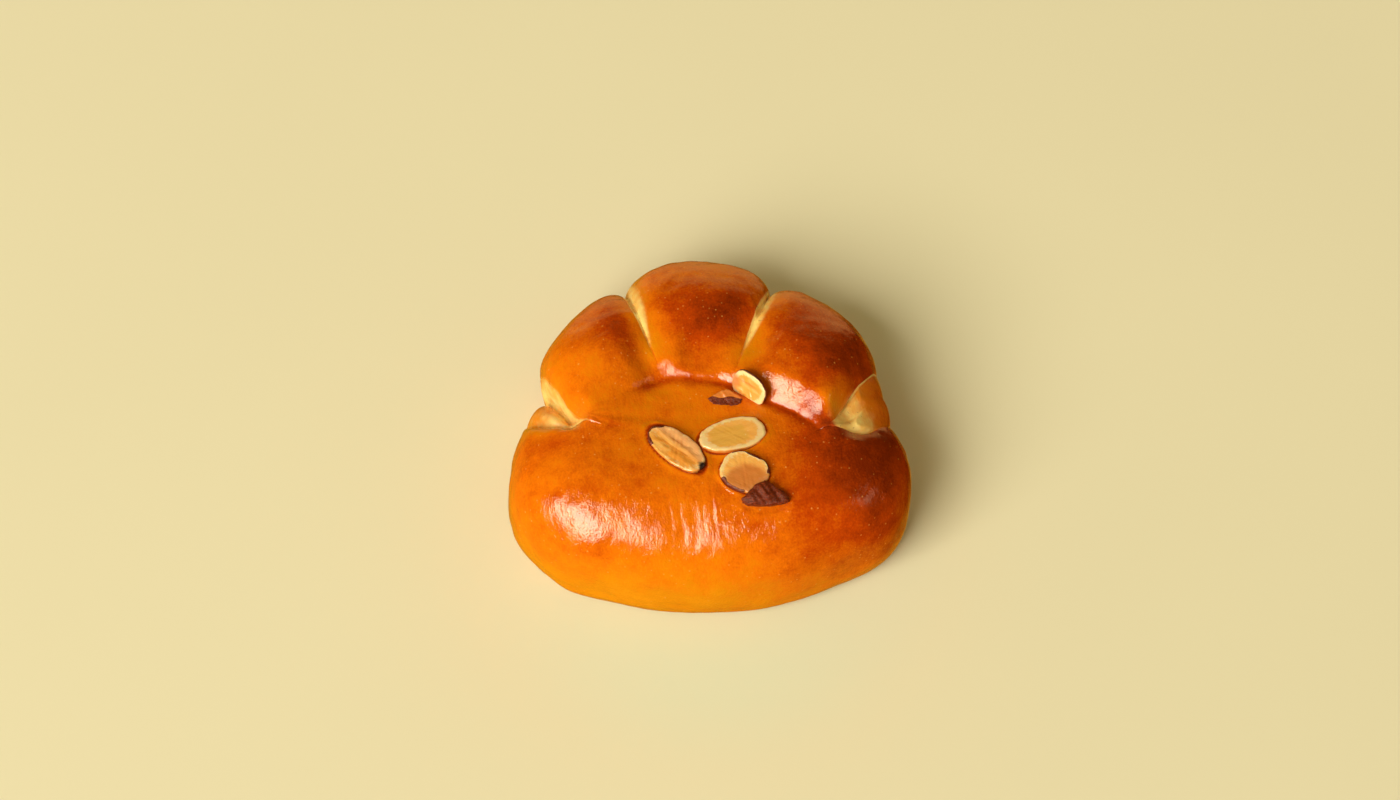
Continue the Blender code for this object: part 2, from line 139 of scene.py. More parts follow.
DROOP_BEGINS = (0.04, 0.36)     # share beyond a slit's start over which the droop, the depth and
DEEP = (0.0, 0.25)              # the sharpness of its walls set in
SHARP = (0.05, 0.27)
WALL_POWER = 2.4                # fullness of the rounding of a sharp wall
SWELL_OUTWARD = 0.3             # share of a layer's rise by which it also stands out at the outline
WIDEST_HALF_ANGLE = 9.0         # half width of a slit at the most, in degrees
HAIRLINE = 0.12                 # half width of a slit where it is shut

# ---- The dough's looks ---------------------------------------------------------------------------
# For each slit as above. The sides are named in the same way: before is its right-hand side, after
# its left-hand side.
SLIT_LOOKS = {
    "bare_start": (0.02, 0.06, 0.06, 0.0),          # how far it has opened where bare dough begins
    "bare_full": (0.20, 0.50, 0.50, 0.10),          # and where it is full
    "tan_after": (0.30, 0.0, 0.0, 0.0),             # how tan its left-hand layer is inside
    "tan_before_outside": (0.85, 0.0, 0.0, 0.0),    # and its two layers at their outer ends
    "tan_after_outside": (0.85, 0.0, 0.0, 0.62),
    "bare_before": (0.30, 2.0, 2.0, 0.62),          # share of each wall's height that is bare dough
    "bare_after": (0.22, 2.0, 2.0, 0.30),
    "bare_outside": (0.0, 0.0, 0.0, 0.35),          # and what is added to it at the outer end
    "bare_width_before": (0.7, 2.2, 3.0, 2.8),      # width of that bare dough, at the outer end
    "bare_width_after": (0.3, 0.9, 0.9, 0.8),
    "bare_inside_before": (0.4, 1.2, 1.2, 1.2),     # and at the inner end
    "bare_inside_after": (0.2, 0.4, 0.4, 0.6),
    "light_before": (3.6, 5.5, 5.5, 3.0),           # reach of the lighter crust beside it
    "light_after": (7.0, 4.5, 3.6, 5.0),
    "lightness_before": (0.25, 0.40, 0.42, 0.30),   # how much less baked that crust is
    "lightness_after": (0.78, 0.22, 0.34, 0.42),
    "light_outside": (0.22, 1.0, 1.0, 1.0),         # share of that which is left at the outer end
    "matt": (0.5, 0.0, 0.0, 0.5),                   # how matt the crust is around the inner end
}
MATT_REACH = 3.5
LAYER_BAKED = 0.10              # how far the dough in a slit is baked, what a tan layer adds to it,
LAYER_BAKED_TAN = 0.28          # and what the outer end of one at the right adds, partly browning and partly painted shade
LAYER_BAKED_AND_SHADE_RIGHT = 0.20
SIDE_BAKED = 0.18               # how far the lower sides are baked, and what the right one adds: partly browning, partly painted shade
SIDE_BAKED_AND_SHADE_RIGHT = 0.30
TOP_BAKED = 0.40                # how far the top is baked where no patch changes it
RIGHT_TOP_BAKED = 0.16          # and what the right end of the roll adds
BASE_BAKED = 0.45
FOOT_PAINTED_SHADE = 0.22              # how much darker the fold at the lobes' feet is, painted shade under the step,
SEAT_PAINTED_SHADE = 0.50         # and the line around a slice, painted shade in the gap at its edge with darker glaze,
SEAT_RIM_PALER = 0.12           # and how much less the rim around it
RIGHT_BEARING = 40              # direction, counter-clockwise from +X, in which the sides are darkest: away from the key light, partly browning and partly painted shade

# Patches of crust that are more or less baked: amount, middle, reach along and across, turn,
# fullness along.
PATCHES = (
    (0.38, (47, -6), (18, 20), 0, 3.0),             # right end of the roll
    (0.36, (5, 31), (17, 11), 0, 2.0),              # crown of the middle lobe; paler at its back, partly lighter crust and partly painted sheen
    (-0.16, (-2, 50), (16, 6), 0, 2.0),
    (0.31, (38, 18), (17, 15), -30, 2.0),           # crown of the right lobe
    (0.16, (-25, 27), (13, 12), 20, 2.0),           # crown of the left lobe, paler at its left side
    (-0.12, (-42, 16), (10, 14), 20, 2.0),
    (0.16, (-42, -9), (13, 6), 0, 2.0),             # roll in front of the left slit
    (-0.02, (-3, 2), (24, 9), 0, 2.0),              # sunk middle
    (-0.13, (-4, -8), (30, 16), 0, 2.0),
    (-0.04, (-20, 1), (9, 8), 0, 2.0),
    (-0.07, (-57, -18), (8, 20), 0, 2.0),           # left, right and front side of the roll
    (-0.30, (56, -8), (5, 22), 0, 2.0),
    (-0.12, (-5, -48), (40, 9), 0, 2.0),
)
SEAT_LINE_DEPTH = 0.10          # line of glaze that runs around a piece of almond
SEAT_RIM_RISE = 0.34            # low rim of dough around a lying slice
SEAT_DIP_DEPTH = 0.10           # dip beyond that rim
WRINKLE_SPACING = (4.3, 2.55)   # of the two sets of wrinkles that run down the roll

# ---- Fineness of the dough's faces ---------------------------------------------------------------
FACES_ACROSS_LOBES = (84, 80, 84, 200)
FACES_ACROSS_SLITS = (20, 6, 6, 20)
ROWS_TOP = 136
ROWS_SIDE = 24
ROWS_BASE = 4
CROWDING = 0.55                 # share of the faces' spacing that narrows towards the edges

# ---- Almond pieces, as the solids have them --------------------------------------------------------
# centre: x, y and height on the fan's axes; heading: direction of the length; lean: how far the
# face leans over, and the direction that it leans to; blunt: power of its outline on the two sides
# of its length, 2 for an ellipse; sides: breadth of those two sides against half the width. The
# skin piece is larger here than its solid, which has to stay clear of the front slice.
ALMONDS = {
    "almond_slice_left": {
        "size": (20.4, 10.0, 1.5), "centre": (-9.6, -14.6, 39.95), "heading": -45.0,
        "lean": 10.0, "lean_to": 90.0, "taper": 0.06, "blunt": (2.1, 2.2), "sides": (1.0, 1.0)},
    "almond_slice_right": {
        "size": (19.4, 11.2, 1.6), "centre": (5.9, -10.0, 38.9), "heading": 17.0,
        "lean": 11.0, "lean_to": 90.0, "taper": 0.16, "blunt": (2.3, 2.2), "sides": (1.0, 1.0)},
    "almond_slice_front": {
        "size": (13.8, 12.2, 1.6), "centre": (9.4, -22.6, 41.2), "heading": -30.0,
        "lean": 3.5, "lean_to": 87.0, "taper": 0.05, "blunt": (2.4, 2.7), "sides": (1.0, 1.0)},
    "almond_skin_piece": {
        "size": (13.2, 7.0, 3.0), "centre": (15.1, -30.8, 40.7), "heading": 2.0,
        "lean": 16.0, "lean_to": -88.0, "taper": 0.05, "blunt": (1.35, 2.3), "sides": (1.4, 0.62)},
    "almond_slice_tilted": {
        "size": (11.6, 9.2, 1.4), "centre": (11.0, 5.8, 37.9), "heading": -40.0,
        "lean": 62.0, "lean_to": -130.0, "taper": 0.0, "blunt": (2.7, 2.1), "sides": (1.0, 1.0)},
    "almond_slice_sunk": {
        "size": (9.8, 5.2, 1.8), "centre": (4.3, 3.0, 35.9), "heading": -2.0,
        "lean": 14.0, "lean_to": -90.0, "taper": 0.0, "blunt": (1.15, 2.4), "sides": (1.2, 0.8)},
}
# grooves: depth of the lengthwise grooves; dome: rise of the face's middle; core: strength of the
# clearer middle; toast: strength of the toasted streaks; blush: pink of the half beyond the middle
# line; lumps: height of the face's lumps; rim: share of the edge's height that stays pale; pale: how
# light the border of the face is; ragged: unevenness of the outline; edges: arcs, in degrees from the
# length, where brown skin covers the edge, with how far it reaches over the face; tip: share of the
# half length beyond which the end is black; clefts: distances from the middle line of dark
# lengthwise clefts; glaze: middle and radius of a circle of amber glaze on the face; bark: line below
# which the face is brown skin
PLAIN = {"core": 0.0, "blush": 0.0, "lumps": 0.0, "tip": None, "clefts": (), "glaze": None, "bark": None}
ALMOND_LOOKS = {
    "almond_slice_left": {
        **PLAIN, "grooves": 0.12, "dome": -0.1, "toast": 1.0, "rim": 0.35, "pale": 0.5, "ragged": 1.4,
        "blush": 1.0, "edges": ((30, 100, 0.0), (140, 238, 0.003)), "tip": 0.90, "clefts": (-0.5, 1.3)},
    "almond_slice_right": {
        **PLAIN, "grooves": 0.03, "dome": -0.15, "toast": 0.45, "rim": 0.5, "pale": 1.1, "ragged": 1.2,
        "core": 1.0, "edges": ((-75, -14, 0.0),)},
    "almond_slice_front": {
        **PLAIN, "grooves": 0.02, "dome": -0.1, "toast": 0.45, "rim": 0.5, "pale": 0.8, "ragged": 1.1,
        "edges": ((20, 150, 0.003), (236, 292, 0.004)), "glaze": (3.0, -3.6, 7.1)},
    "almond_skin_piece": {
        **PLAIN, "grooves": 0.10, "dome": 1.1, "toast": 0.0, "rim": 0.0, "pale": 0.0, "ragged": 2.6,
        "lumps": 0.32, "edges": ((0, 360, 1.0),)},
    "almond_slice_tilted": {
        **PLAIN, "grooves": 0.05, "dome": -0.3, "toast": 0.9, "rim": 0.25, "pale": 1.3, "ragged": 1.2,
        "edges": ((-10, 190, 0.0),), "clefts": (1.0,), "glaze": (-5.2, -0.6, 2.8)},
    "almond_slice_sunk": {
        **PLAIN, "grooves": 0.08, "dome": 0.0, "toast": 1.0, "rim": 0.2, "pale": 0.0, "ragged": 3.0,
        "lumps": 0.05, "edges": ((180, 360, 0.1),), "glaze": (0.0, 0.0, 9.0), "bark": 0.5},
}
DULL = ("almond_skin_piece", "almond_slice_sunk")       # mostly skin, with less gloss than the flesh
FLESH_GLOSS = 1.55              # refraction of the surface: the lower, the duller
SKIN_GLOSS = 1.30
LYING = ("almond_slice_left", "almond_slice_right", "almond_slice_front")
ALMOND_SIDES = 120
ALMOND_RINGS = 26
# The way from the middle of a piece's face, 0, over its rim to the middle of its back, 1.
FACE_ENDS = 0.46
BACK_STARTS = 0.60
ROUNDED = 0.06                  # share of the half width that the rounding of the rim takes

# ---- Colours that no setting changes ---------------------------------------------------------------
CRUMB_COLOUR = (0.40, 0.12, 0.02)       # brown crumbs on the bare dough
SPECK_COLOUR = (0.90, 0.42, 0.09)       # light specks on the crust
SPECK_CELLS = 560.0                     # per metre; about one cell in three holds a clear speck
BLUSH_COLOUR = (0.93, 0.47, 0.20)       # pink half of an almond's face, and its pale border
PALE_RIM_COLOUR = (1.0, 0.74, 0.36)
EDGE_COLOUR = (0.70, 0.22, 0.03)        # an almond's side, and the glaze on its face
GLAZE_COLOUR = (0.64, 0.19, 0.036)
BURNT_COLOUR = (0.022, 0.011, 0.009)

# ---- Camera and stage ------------------------------------------------------------------------------
CAMERA_HEIGHT_ANGLE = 62.0
CAMERA_DISTANCE = 0.981
CAMERA_LENS = 85.0
CAMERA_SENSOR = 36.0
CAMERA_TARGET = (-0.003, 0.022, 0.0)    # on the fan's axes
FLOOR_SIZE = 4.0
BOUNCE_CANCEL_MIDDLE = (0.0, -0.030, 0.0)        # middle of the cooler tint painted in front of the bun to cancel the orange light bounced from it
KEY_DISTANCE = 5.0
KEY_SIZE = 3.27
KEY_COLOUR = (1.0, 0.94, 0.86)
SKY_COLOUR = (1.0, 0.88, 0.50)
SHEEN_DISTANCE = 2.6
# Soft boxes seen only as reflections in the glaze: name; bearing, height and roll in degrees; width
# and height in metres; power; colour
REFLECTED = (
    ("window", (44.5, 35, -34), (2.15, 2.0), 170.0, (1.0, 0.94, 0.72)),
    ("backdrop", (180, -14, 0), (3.0, 2.0), 18.0, (1.0, 0.45, 0.13)),
    ("floor_glow", (75, -62, 0), (7.0, 7.0), 73.0, (1.0, 0.47, 0.03)),
    ("side_glow", (-88, 30, 0), (0.9, 0.8), 5.5, (1.0, 0.58, 0.34)),
)


# ---- Settings --------------------------------------------------------------------------------------
def length_setting(name, description, millimetres, highest, precision=4):
    """Length that the panel shows, from 0 up to its highest value."""
    return FloatProperty(name=name, description=description, default=millimetres * MM, min=0.0,
                         max=highest * MM, unit="LENGTH", precision=precision)


def colour_setting(name, description, default):
    """Colour that the panel shows."""
    return FloatVectorProperty(name=name, description=description, subtype="COLOR", size=3,
                               min=0.0, max=1.0, default=default)


class BunShape(bpy.types.PropertyGroup):
    """Sizes of the dough."""
    roll_rise: length_setting("Roll rise", "Crest of the front roll above the sunk middle", 6.0, 12.0)
    lobe_rise: length_setting(
        "Lobe rise", "Crown of the middle and left lobe above the sunk middle", 3.8, 8.0)
    right_lobe_rise: length_setting(
        "Right lobe rise", "Crown of the right lobe above the sunk middle", 2.0, 8.0)
    lip_rise: length_setting(
        "Lip rise", "Highest step from the sunk middle up to the feet of the lobes", 4.6, 8.0)
    wrinkle_depth: length_setting(
        "Wrinkle depth", "Depth of the fine wrinkles over the front roll", 0.11, 0.6, precision=5)
    unevenness: length_setting(
        "Unevenness", "Height of the gentle waves all over the crust", 0.16, 1.0, precision=5)


class BunColours(bpy.types.PropertyGroup):
    """Colours of the crust, from the palest dough to the darkest crown."""
    dough: colour_setting("Dough", "Pale dough in the slits", (1.0, 0.68, 0.19))
    gold: colour_setting("Gold", "Lightly baked crust low on the sides", (0.77, 0.256, 0.002))
    amber: colour_setting("Amber", "Crust of the sunk middle and the roll", (0.80, 0.170, 0.002))
    chestnut: colour_setting("Chestnut", "Well baked crust", (0.52, 0.056, 0.001))
    umber: colour_setting("Umber", "Darkest crust on the crowns", (0.23, 0.022, 0.001))


class AlmondColours(bpy.types.PropertyGroup):
    """Colours of the sliced almond."""
    flesh: colour_setting("Flesh", "Pale cut face", (1.0, 0.54, 0.14))
    toasted: colour_setting("Toasted", "Toasted streaks", (0.95, 0.31, 0.022))
    skin: colour_setting("Skin", "Brown skin", (0.110, 0.013, 0.002))


class StageSettings(bpy.types.PropertyGroup):
    """Floor and light."""
    floor_colour: colour_setting("Floor", "Colour of the floor", (0.80, 0.735, 0.48))
    key_power: FloatProperty(
        name="Key light", description="Power of the main soft light", default=310.0,
        min=0.0, max=2000.0, unit="POWER")
    key_bearing: FloatProperty(
        name="Key bearing", description="Direction of the main light, clockwise from the front",
        default=math.radians(43), subtype="ANGLE")
    key_height: FloatProperty(
        name="Key height", description="Angle of the main light above the floor",
        default=math.radians(39), subtype="ANGLE")
    sky: FloatProperty(
        name="Surrounding light", description="Strength of the even light from all around",
        default=0.33, min=0.0, max=3.0)


# ---- Curves and blends ------------------------------------------------------------------------
def smoothstep(low, high, value):
    """Blend that leaves 0 at low and reaches 1 at high, level at both ends."""
    t = np.clip((value - low) / (high - low), 0.0, 1.0)
    return t * t * (3.0 - 2.0 * t)


def arch(t, power=2.0):
    """Quarter of a superellipse: upright at 0, level at 1."""
    return (1.0 - (1.0 - np.clip(t, 0.0, 1.0)) ** power) ** (1.0 / power)


def mound(x, y, centre, size, turn=0.0, power=2.0):
    """Bell over the plan, 1 at its centre; power shapes it along its first direction."""
    turn = np.radians(turn)
    dx = x - centre[0]
    dy = y - centre[1]
    along = np.abs(dx * np.cos(turn) + dy * np.sin(turn)) / size[0]
    across = (dy * np.cos(turn) - dx * np.sin(turn)) / size[1]
    return np.exp(-along ** power - across ** 2)


def round_curve(points, angle):
    """Smooth closed curve through (angle, radius) points, read at any angle in degrees."""
    angles = np.array([p[0] for p in points], float)
    radii = np.array([p[1] for p in points], float)
    angles = np.concatenate([angles - 360.0, angles, angles + 360.0])
    radii = np.tile(radii, 3)
    slopes = np.gradient(radii, angles)
    angle = (angle - points[0][0]) % 360.0 + points[0][0]
    i = np.clip(np.searchsorted(angles, angle, side="right") - 1, 0, len(angles) - 2)
    step = angles[i + 1] - angles[i]
    t = (angle - angles[i]) / step
    start = (2 * t ** 3 - 3 * t ** 2 + 1) * radii[i] + (t ** 3 - 2 * t ** 2 + t) * step * slopes[i]
    end = (3 * t ** 2 - 2 * t ** 3) * radii[i + 1] + (t ** 3 - t ** 2) * step * slopes[i + 1]
    return start + end


def waves(x, y, z, shortest, longest, count, seed):
    """Sum of plane waves in random directions, with lengths between shortest and longest, about -1..1."""
    draw = np.random.default_rng(seed)
    total = np.zeros_like(x)
    for _ in range(count):
        direction = draw.normal(size=3)
        direction = direction / np.linalg.norm(direction)
        length = draw.uniform(shortest, longest)
        phase = draw.uniform(0, 2 * np.pi)
        total = total + np.sin((x * direction[0] + y * direction[1] + z * direction[2])
                               * 2 * np.pi / length + phase)
    return total / math.sqrt(count)


# ---- The dough ----------------------------------------------------------------------------------
def crown(x, y, angle, radius, shape):
    """Height of the dough's top before its sides and slits are rounded off: a level middle with a
    long mound for the roll, one for each lobe, and a step with a groove at the lobes' feet."""
    rises = {"roll": shape.roll_rise / MM, "roll_end": ROLL_END_RISE, "lobe": shape.lobe_rise / MM,
             "right_lobe": shape.right_lobe_rise / MM, "dimple": -DIMPLE}
    z = PANEL_HEIGHT + 0.0 * x
    for form, middle, reach, turn, fullness in MOUNDS:
        z = z + rises[form] * mound(x, y, middle, reach, turn, fullness)

    past = radius - round_curve(LIP, angle)
    around = (angle + 90.0) % 360.0 - 90.0
    present = smoothstep(*GROOVE_STARTS, around) * (1 - smoothstep(*GROOVE_ENDS, around))
    width = LIP_WIDTH + LIP_WIDER_RIGHT * (1 - smoothstep(52, 70, around))
    width = width + LIP_WIDER_MIDDLE * np.exp(-((around - 90) / 9) ** 2)
    step = smoothstep(0.0, 1.0, (past + LIP_BEFORE) / width)
    step = step * np.exp(-(np.maximum(past - width, 0) / (1.4 * width + 5.0)) ** 2)
    step = step * np.maximum(round_curve(LIP_STEP, angle), 0.0)
    groove = np.exp(-(np.minimum(past, 0) / GROOVE_INSIDE) ** 2 - (np.maximum(past, 0) / GROOVE_OUTSIDE) ** 2)
    return z + shape.lip_rise / MM * step - GROOVE_DEPTH * present * groove


def wrinkles(x, y):
    """Fine wrinkles, about -1..1: two sets of sine ridges that run down the front of the roll and
    fan out a little, bent and weakened unevenly by slower sines, and a few that spread from the
    inner end of the left slit."""
    reach = mound(x, y, (0, -37), (18, 12), power=4.0)
    across = x * (1 - 0.004 * (y + 38)) + 1.1 * np.sin(y / 6.0 + x / 9.0) + 0.5 * np.sin(y / 2.3 + x)
    across = across + 2.2 * np.sin(x / 4.1 + 1.0) + 1.1 * np.sin(x / 1.9)
    strength = 0.45 + 0.55 * np.sin(x / 3.7 + 0.8) * np.cos(y / 4.6 + x / 5.0)
    wide, narrow = (across * 2 * np.pi / spacing for spacing in WRINKLE_SPACING)
    ridge = np.sin(wide) + 0.6 * np.sin(narrow + 1.0 + 0.15 * y)
    down = 0.75 * ridge * strength * reach * (1 - 0.5 * smoothstep(2, 16, x))

    spread = mound(x, y, (-25, -4), (11, 6), turn=-15)
    from_slit = np.degrees(np.arctan2(y + 2.5, x + 36.0))
    fan = np.sin(from_slit / 3.4 + 0.5 * np.sin(x / 2.7)) * spread
    return down + 0.8 * fan


def crowded(even):
    """Even steps within -1..1, moved so that they lie closer together towards the ends."""
    return CROWDING * np.sin(even * np.pi / 2) + (1 - CROWDING) * even


def columns():
    """Slit or lobe number of each column of faces, whether it is in a slit, and its place -1..1."""
    number, in_slit, place = [], [], []
    for k in range(4):
        across = np.linspace(-1, 1, FACES_ACROSS_SLITS[k] + 1)[:-1]
        number += [k] * len(across)
        in_slit += [True] * len(across)
        place += list(across)
        across = np.linspace(-1, 1, FACES_ACROSS_LOBES[k] + 1)[:-1]
        number += [k] * len(across)
        in_slit += [False] * len(across)
        place += list(crowded(across))
    return np.array(number), np.array(in_slit)[:, None], np.array(place)[:, None]


def fan_grid(share):
    """Angle, radius and distances to the two slits of a lobe, for each column and share.

    A column's angle lies between those of its two slits, by its place; its radius is the
    outline's at that angle times the share, drawn in so that one row of faces follows the lip,
    less a rounded notch beside each slit."""
    number, in_slit, place = columns()
    after = (number + 1) % 4
    slit = {key: np.array(values, float)[:, None] for key, values in (SLITS | SLIT_LOOKS).items()}

    bend = share ** slit["angle_power"]
    middle = slit["angle_inside"] + (slit["angle_outside"] - slit["angle_inside"]) * bend
    opened = np.clip((share - slit["start"]) / (1 - slit["start"]), 0, 1)
    half = slit["half_width"] * np.tanh(1.5 * opened ** slit["opening_power"]) / np.tanh(1.5) + HAIRLINE
    half = np.degrees(half / np.maximum(round_curve(OUTLINE, middle) * share, 1.0))
    half = np.minimum(half, WIDEST_HALF_ANGLE)

    # the roll is wide, so only its columns close to a slit follow that slit's opening
    full_turn = np.where(after == 0, 360.0, 0.0)[:, None]
    local = np.where(number == 3, 8, 2)[:, None]
    to_left, to_right = (1 - place) / 2, (1 + place) / 2
    in_lobe = middle[number] * to_left + (middle[after] + full_turn) * to_right
    in_lobe = in_lobe + half[number] * to_left ** local - half[after] * to_right ** local
    angle = np.where(in_slit, middle[number] + half[number] * place, in_lobe)

    outline = round_curve(OUTLINE, angle)
    pull = np.where(share < LIP_SHARE, smoothstep(0, LIP_SHARE, share),
                    1 - smoothstep(LIP_SHARE, 0.95, share))
    radius = outline * share + (round_curve(LIP, angle) - outline * LIP_SHARE) * pull

    first = np.maximum(np.radians(angle - middle[number] - half[number]), 0) * radius
    last = np.maximum(np.radians(middle[after] + full_turn - half[after] - angle), 0) * radius
    first = np.where(in_slit, 0.0, first)
    last = np.where(in_slit, 0.0, last)

    notch = slit["notch_after"][number] * (1 - arch(first[:, -1:] / slit["notch_width"][number]))
    notch = notch + slit["notch_before"][after] * (1 - arch(last[:, -1:] / slit["notch_width"][after]))
    notch_in_slit = slit["notch_before"][number] * (1 - place) / 2
    notch_in_slit = notch_in_slit + slit["notch_after"][number] * (1 + place) / 2
    notch = np.where(in_slit, notch_in_slit, notch)
    bulge = np.where(in_slit, SWELL_OUTWARD * slit_layers(place, slit, number), 0.0)
    bulge = bulge * smoothstep(0, 0.6, opened[number])
    inward = radius[:, -1:] - radius - notch * (1 - share ** 3) * smoothstep(0.45, 0.85, share)
    radius = radius - (notch - bulge) * share ** 3
    return number, after, in_slit, place, slit, opened, angle, radius, inward, first, last


def slit_layers(place, slit, number):
    """Height of the two swollen layers across an open slit: a parabola on each side of the fold."""
    fold = slit["fold"][number]
    before = slit["swell_before"][number] * (1 - ((2 * place + 1 - fold) / (1 + fold)) ** 2)
    behind = slit["swell_after"][number] * (1 - ((2 * place - 1 - fold) / (1 - fold)) ** 2)
    return np.where(place < fold, before, behind)


def almond_frame(spec):
    """Three unit directions of an almond piece: along its length, across it, and out of its face."""
    heading = np.radians(spec["heading"])
    lean, lean_to = np.radians(spec["lean"]), np.radians(spec["lean_to"])
    normal = np.array([np.sin(lean) * np.cos(lean_to), np.sin(lean) * np.sin(lean_to), np.cos(lean)])
    forward = np.array([np.cos(heading), np.sin(heading), 0.0])
    forward = forward - normal * forward.dot(normal)
    forward = forward / np.linalg.norm(forward)
    return np.stack([forward, np.cross(normal, forward), normal])


def almond_surroundings(name, x, y):
    """Distance beyond the outline of an almond piece, taken as an ellipse, height of its face
    there, and how strong the glaze around it is, which varies about 0.75 with the bearing."""
    spec = ALMONDS[name]
    forward, sideways, normal = almond_frame(spec)
    dx, dy = x - spec["centre"][0], y - spec["centre"][1]
    u = (dx * forward[0] + dy * forward[1]) / (spec["size"][0] / 2)
    v = (dx * sideways[0] + dy * sideways[1]) / (spec["size"][1] / 2)
    beyond = (np.sqrt(u ** 2 + v ** 2) - 1) * min(spec["size"][:2]) / 2
    face = spec["centre"][2] - (dx * normal[0] + dy * normal[1]) / normal[2]
    turned = np.arctan2(v, u)
    return beyond, face, 0.75 + 0.35 * np.sin(3 * turned + spec["heading"]) + 0.2 * np.sin(8 * turned)


def seat_almonds(x, y, z):
    """The dough's height once the almonds lie in it: it stays below each lying piece, with a fine
    line around it. Around a slice it also swells into a low rim, with a shallow dip beyond."""
    for name in LYING + ("almond_skin_piece",):
        beyond, face, uneven = almond_surroundings(name, x, y)
        under = face - 0.25 * ALMONDS[name]["size"][2]
        inside = 1 - smoothstep(-0.3, 0.35, beyond)
        z = z + (np.minimum(z, under) - z) * inside
        z = z - SEAT_LINE_DEPTH * np.exp(-((beyond - 0.10) / 0.30) ** 2)
        if name in LYING:
            z = z + SEAT_RIM_RISE * uneven * np.exp(-((beyond - 0.65) / 0.55) ** 2)
            z = z - SEAT_DIP_DEPTH * np.exp(-((beyond - 2.6) / 1.4) ** 2)
    return z


def facing_right(x, y):
    """1 for the sides at the right and back, 0 for those at the front and left."""
    return 0.5 + 0.5 * np.cos(np.arctan2(y - FAN_Y, x - FAN_X) - np.radians(RIGHT_BEARING))


def crust_browning(x, y, z):
    """How far the crust is baked, about 0..1, where no slit is near.

    Height makes the base value, and the sides away from the key light get more, partly browning and
    partly painted shade; patches over the plan add the dark crowns and take away in the sunk middle,
    one of them partly painted sheen; the fold at the lobes' feet is darker with painted shade, and a
    line around each lying slice with painted shade in its gap and darker glaze."""
    low = 1 - smoothstep(6, 33, z)
    # sides away from the key light are darker: partly browning, partly painted shade
    baked = SIDE_BAKED + SIDE_BAKED_AND_SHADE_RIGHT * facing_right(x, y) * low + TOP_BAKED * (1 - low)
    baked = baked + RIGHT_TOP_BAKED * smoothstep(0, 40, x) * (1 - smoothstep(-8, 4, y))
    for amount, middle, reach, turn, fullness in PATCHES:
        baked = baked + amount * mound(x, y, middle, reach, turn, fullness)

    around = np.degrees(np.arctan2(y - FAN_Y, x - FAN_X))
    past = np.hypot(x - FAN_X, y - FAN_Y) - round_curve(LIP, around)
    at_lip = smoothstep(10, 40, around) * (1 - smoothstep(118, 135, around))
    # painted shade: a darker band along the fold at the lobes' feet
    baked = baked + FOOT_PAINTED_SHADE * at_lip * np.exp(-((past + LIP_BEFORE) / 1.8) ** 2)

    for name in LYING:
        beyond, _, uneven = almond_surroundings(name, x, y)
        # painted shade in the gap at the slice's edge, with darker glaze there
        baked = baked + SEAT_PAINTED_SHADE * np.exp(-((beyond - 0.1) / 0.32) ** 2)
        baked = baked - SEAT_RIM_PALER * uneven * np.exp(-((beyond - 0.9) / 0.4) ** 2)
    return baked


def dough_looks(baked, right, grid, share, full_first, full_last):
    """How far each point is baked, how much bare dough it shows, and how matt it is, each 0..1.

    The crust beside a slit is less baked by a bell of the distance from it. The lower share of its
    walls is bare, and so is its bottom, where each of the two layers has its own tan."""
    number, after, in_slit, place, slit, opened, _, _, _, first, last = grid
    begun = smoothstep(slit["bare_start"], slit["bare_full"], opened)
    outer = smoothstep(0.25, 0.75, opened)

    def beside(full, distance, side, k):
        height = slit["bare_" + side][k] + outer[k] * slit["bare_outside"][k]
        width = slit["bare_inside_" + side][k] * (1 - outer[k]) + slit["bare_width_" + side][k] * outer[k]
        width = width * smoothstep(0.0, 0.3, opened[k]) + 0.01
        bare = (1 - smoothstep(height - 0.10, height + 0.10, full)) * begun[k]
        bare = bare * np.exp(-(distance / width) ** 2)
        light = slit["lightness_" + side][k] * np.exp(-(distance / slit["light_" + side][k]) ** 2)
        light = light * smoothstep(0.0, 0.25, opened[k]) * (1 + outer[k] * (slit["light_outside"][k] - 1))
        return bare, light

    bare_first, light_first = beside(full_first, first, "after", number)
    bare_last, light_last = beside(full_last, last, "before", after)
    bare = np.where(in_slit, begun[number], np.maximum(bare_first, bare_last))
    baked = baked - np.where(in_slit, 0.0, np.maximum(light_first, light_last))

    behind = smoothstep(slit["fold"][number] - 0.15, slit["fold"][number] + 0.15, place)
    outside = smoothstep(0.40, 0.90, opened)[number]
    inner_tan = slit["tan_after"][number] * behind
    outer_tan = slit["tan_before_outside"][number] * (1 - behind) + slit["tan_after_outside"][number] * behind
    tan = np.where(in_slit, inner_tan + (outer_tan - inner_tan) * outside, 0.0) * begun[number]
    bare = bare * (1 - tan)
    # outer ends of the layers at the right are darker: partly browning, partly painted shade
    layer = LAYER_BAKED + LAYER_BAKED_TAN * tan + LAYER_BAKED_AND_SHADE_RIGHT * right * outside
    baked = np.where(in_slit, baked + (layer - baked) * begun[number], baked)

    near = slit["matt"] * smoothstep(-0.06, 0.02, share - slit["start"]) * (1 - smoothstep(0.25, 0.5, opened))
    matt_first = near[number] * np.exp(-(first / MATT_REACH) ** 2)
    matt_last = near[after] * np.exp(-(last / MATT_REACH) ** 2)
    matt = np.where(in_slit, near[number], np.maximum(matt_first, matt_last))
    return np.clip(np.stack([baked, bare, matt], -1), 0, 1)


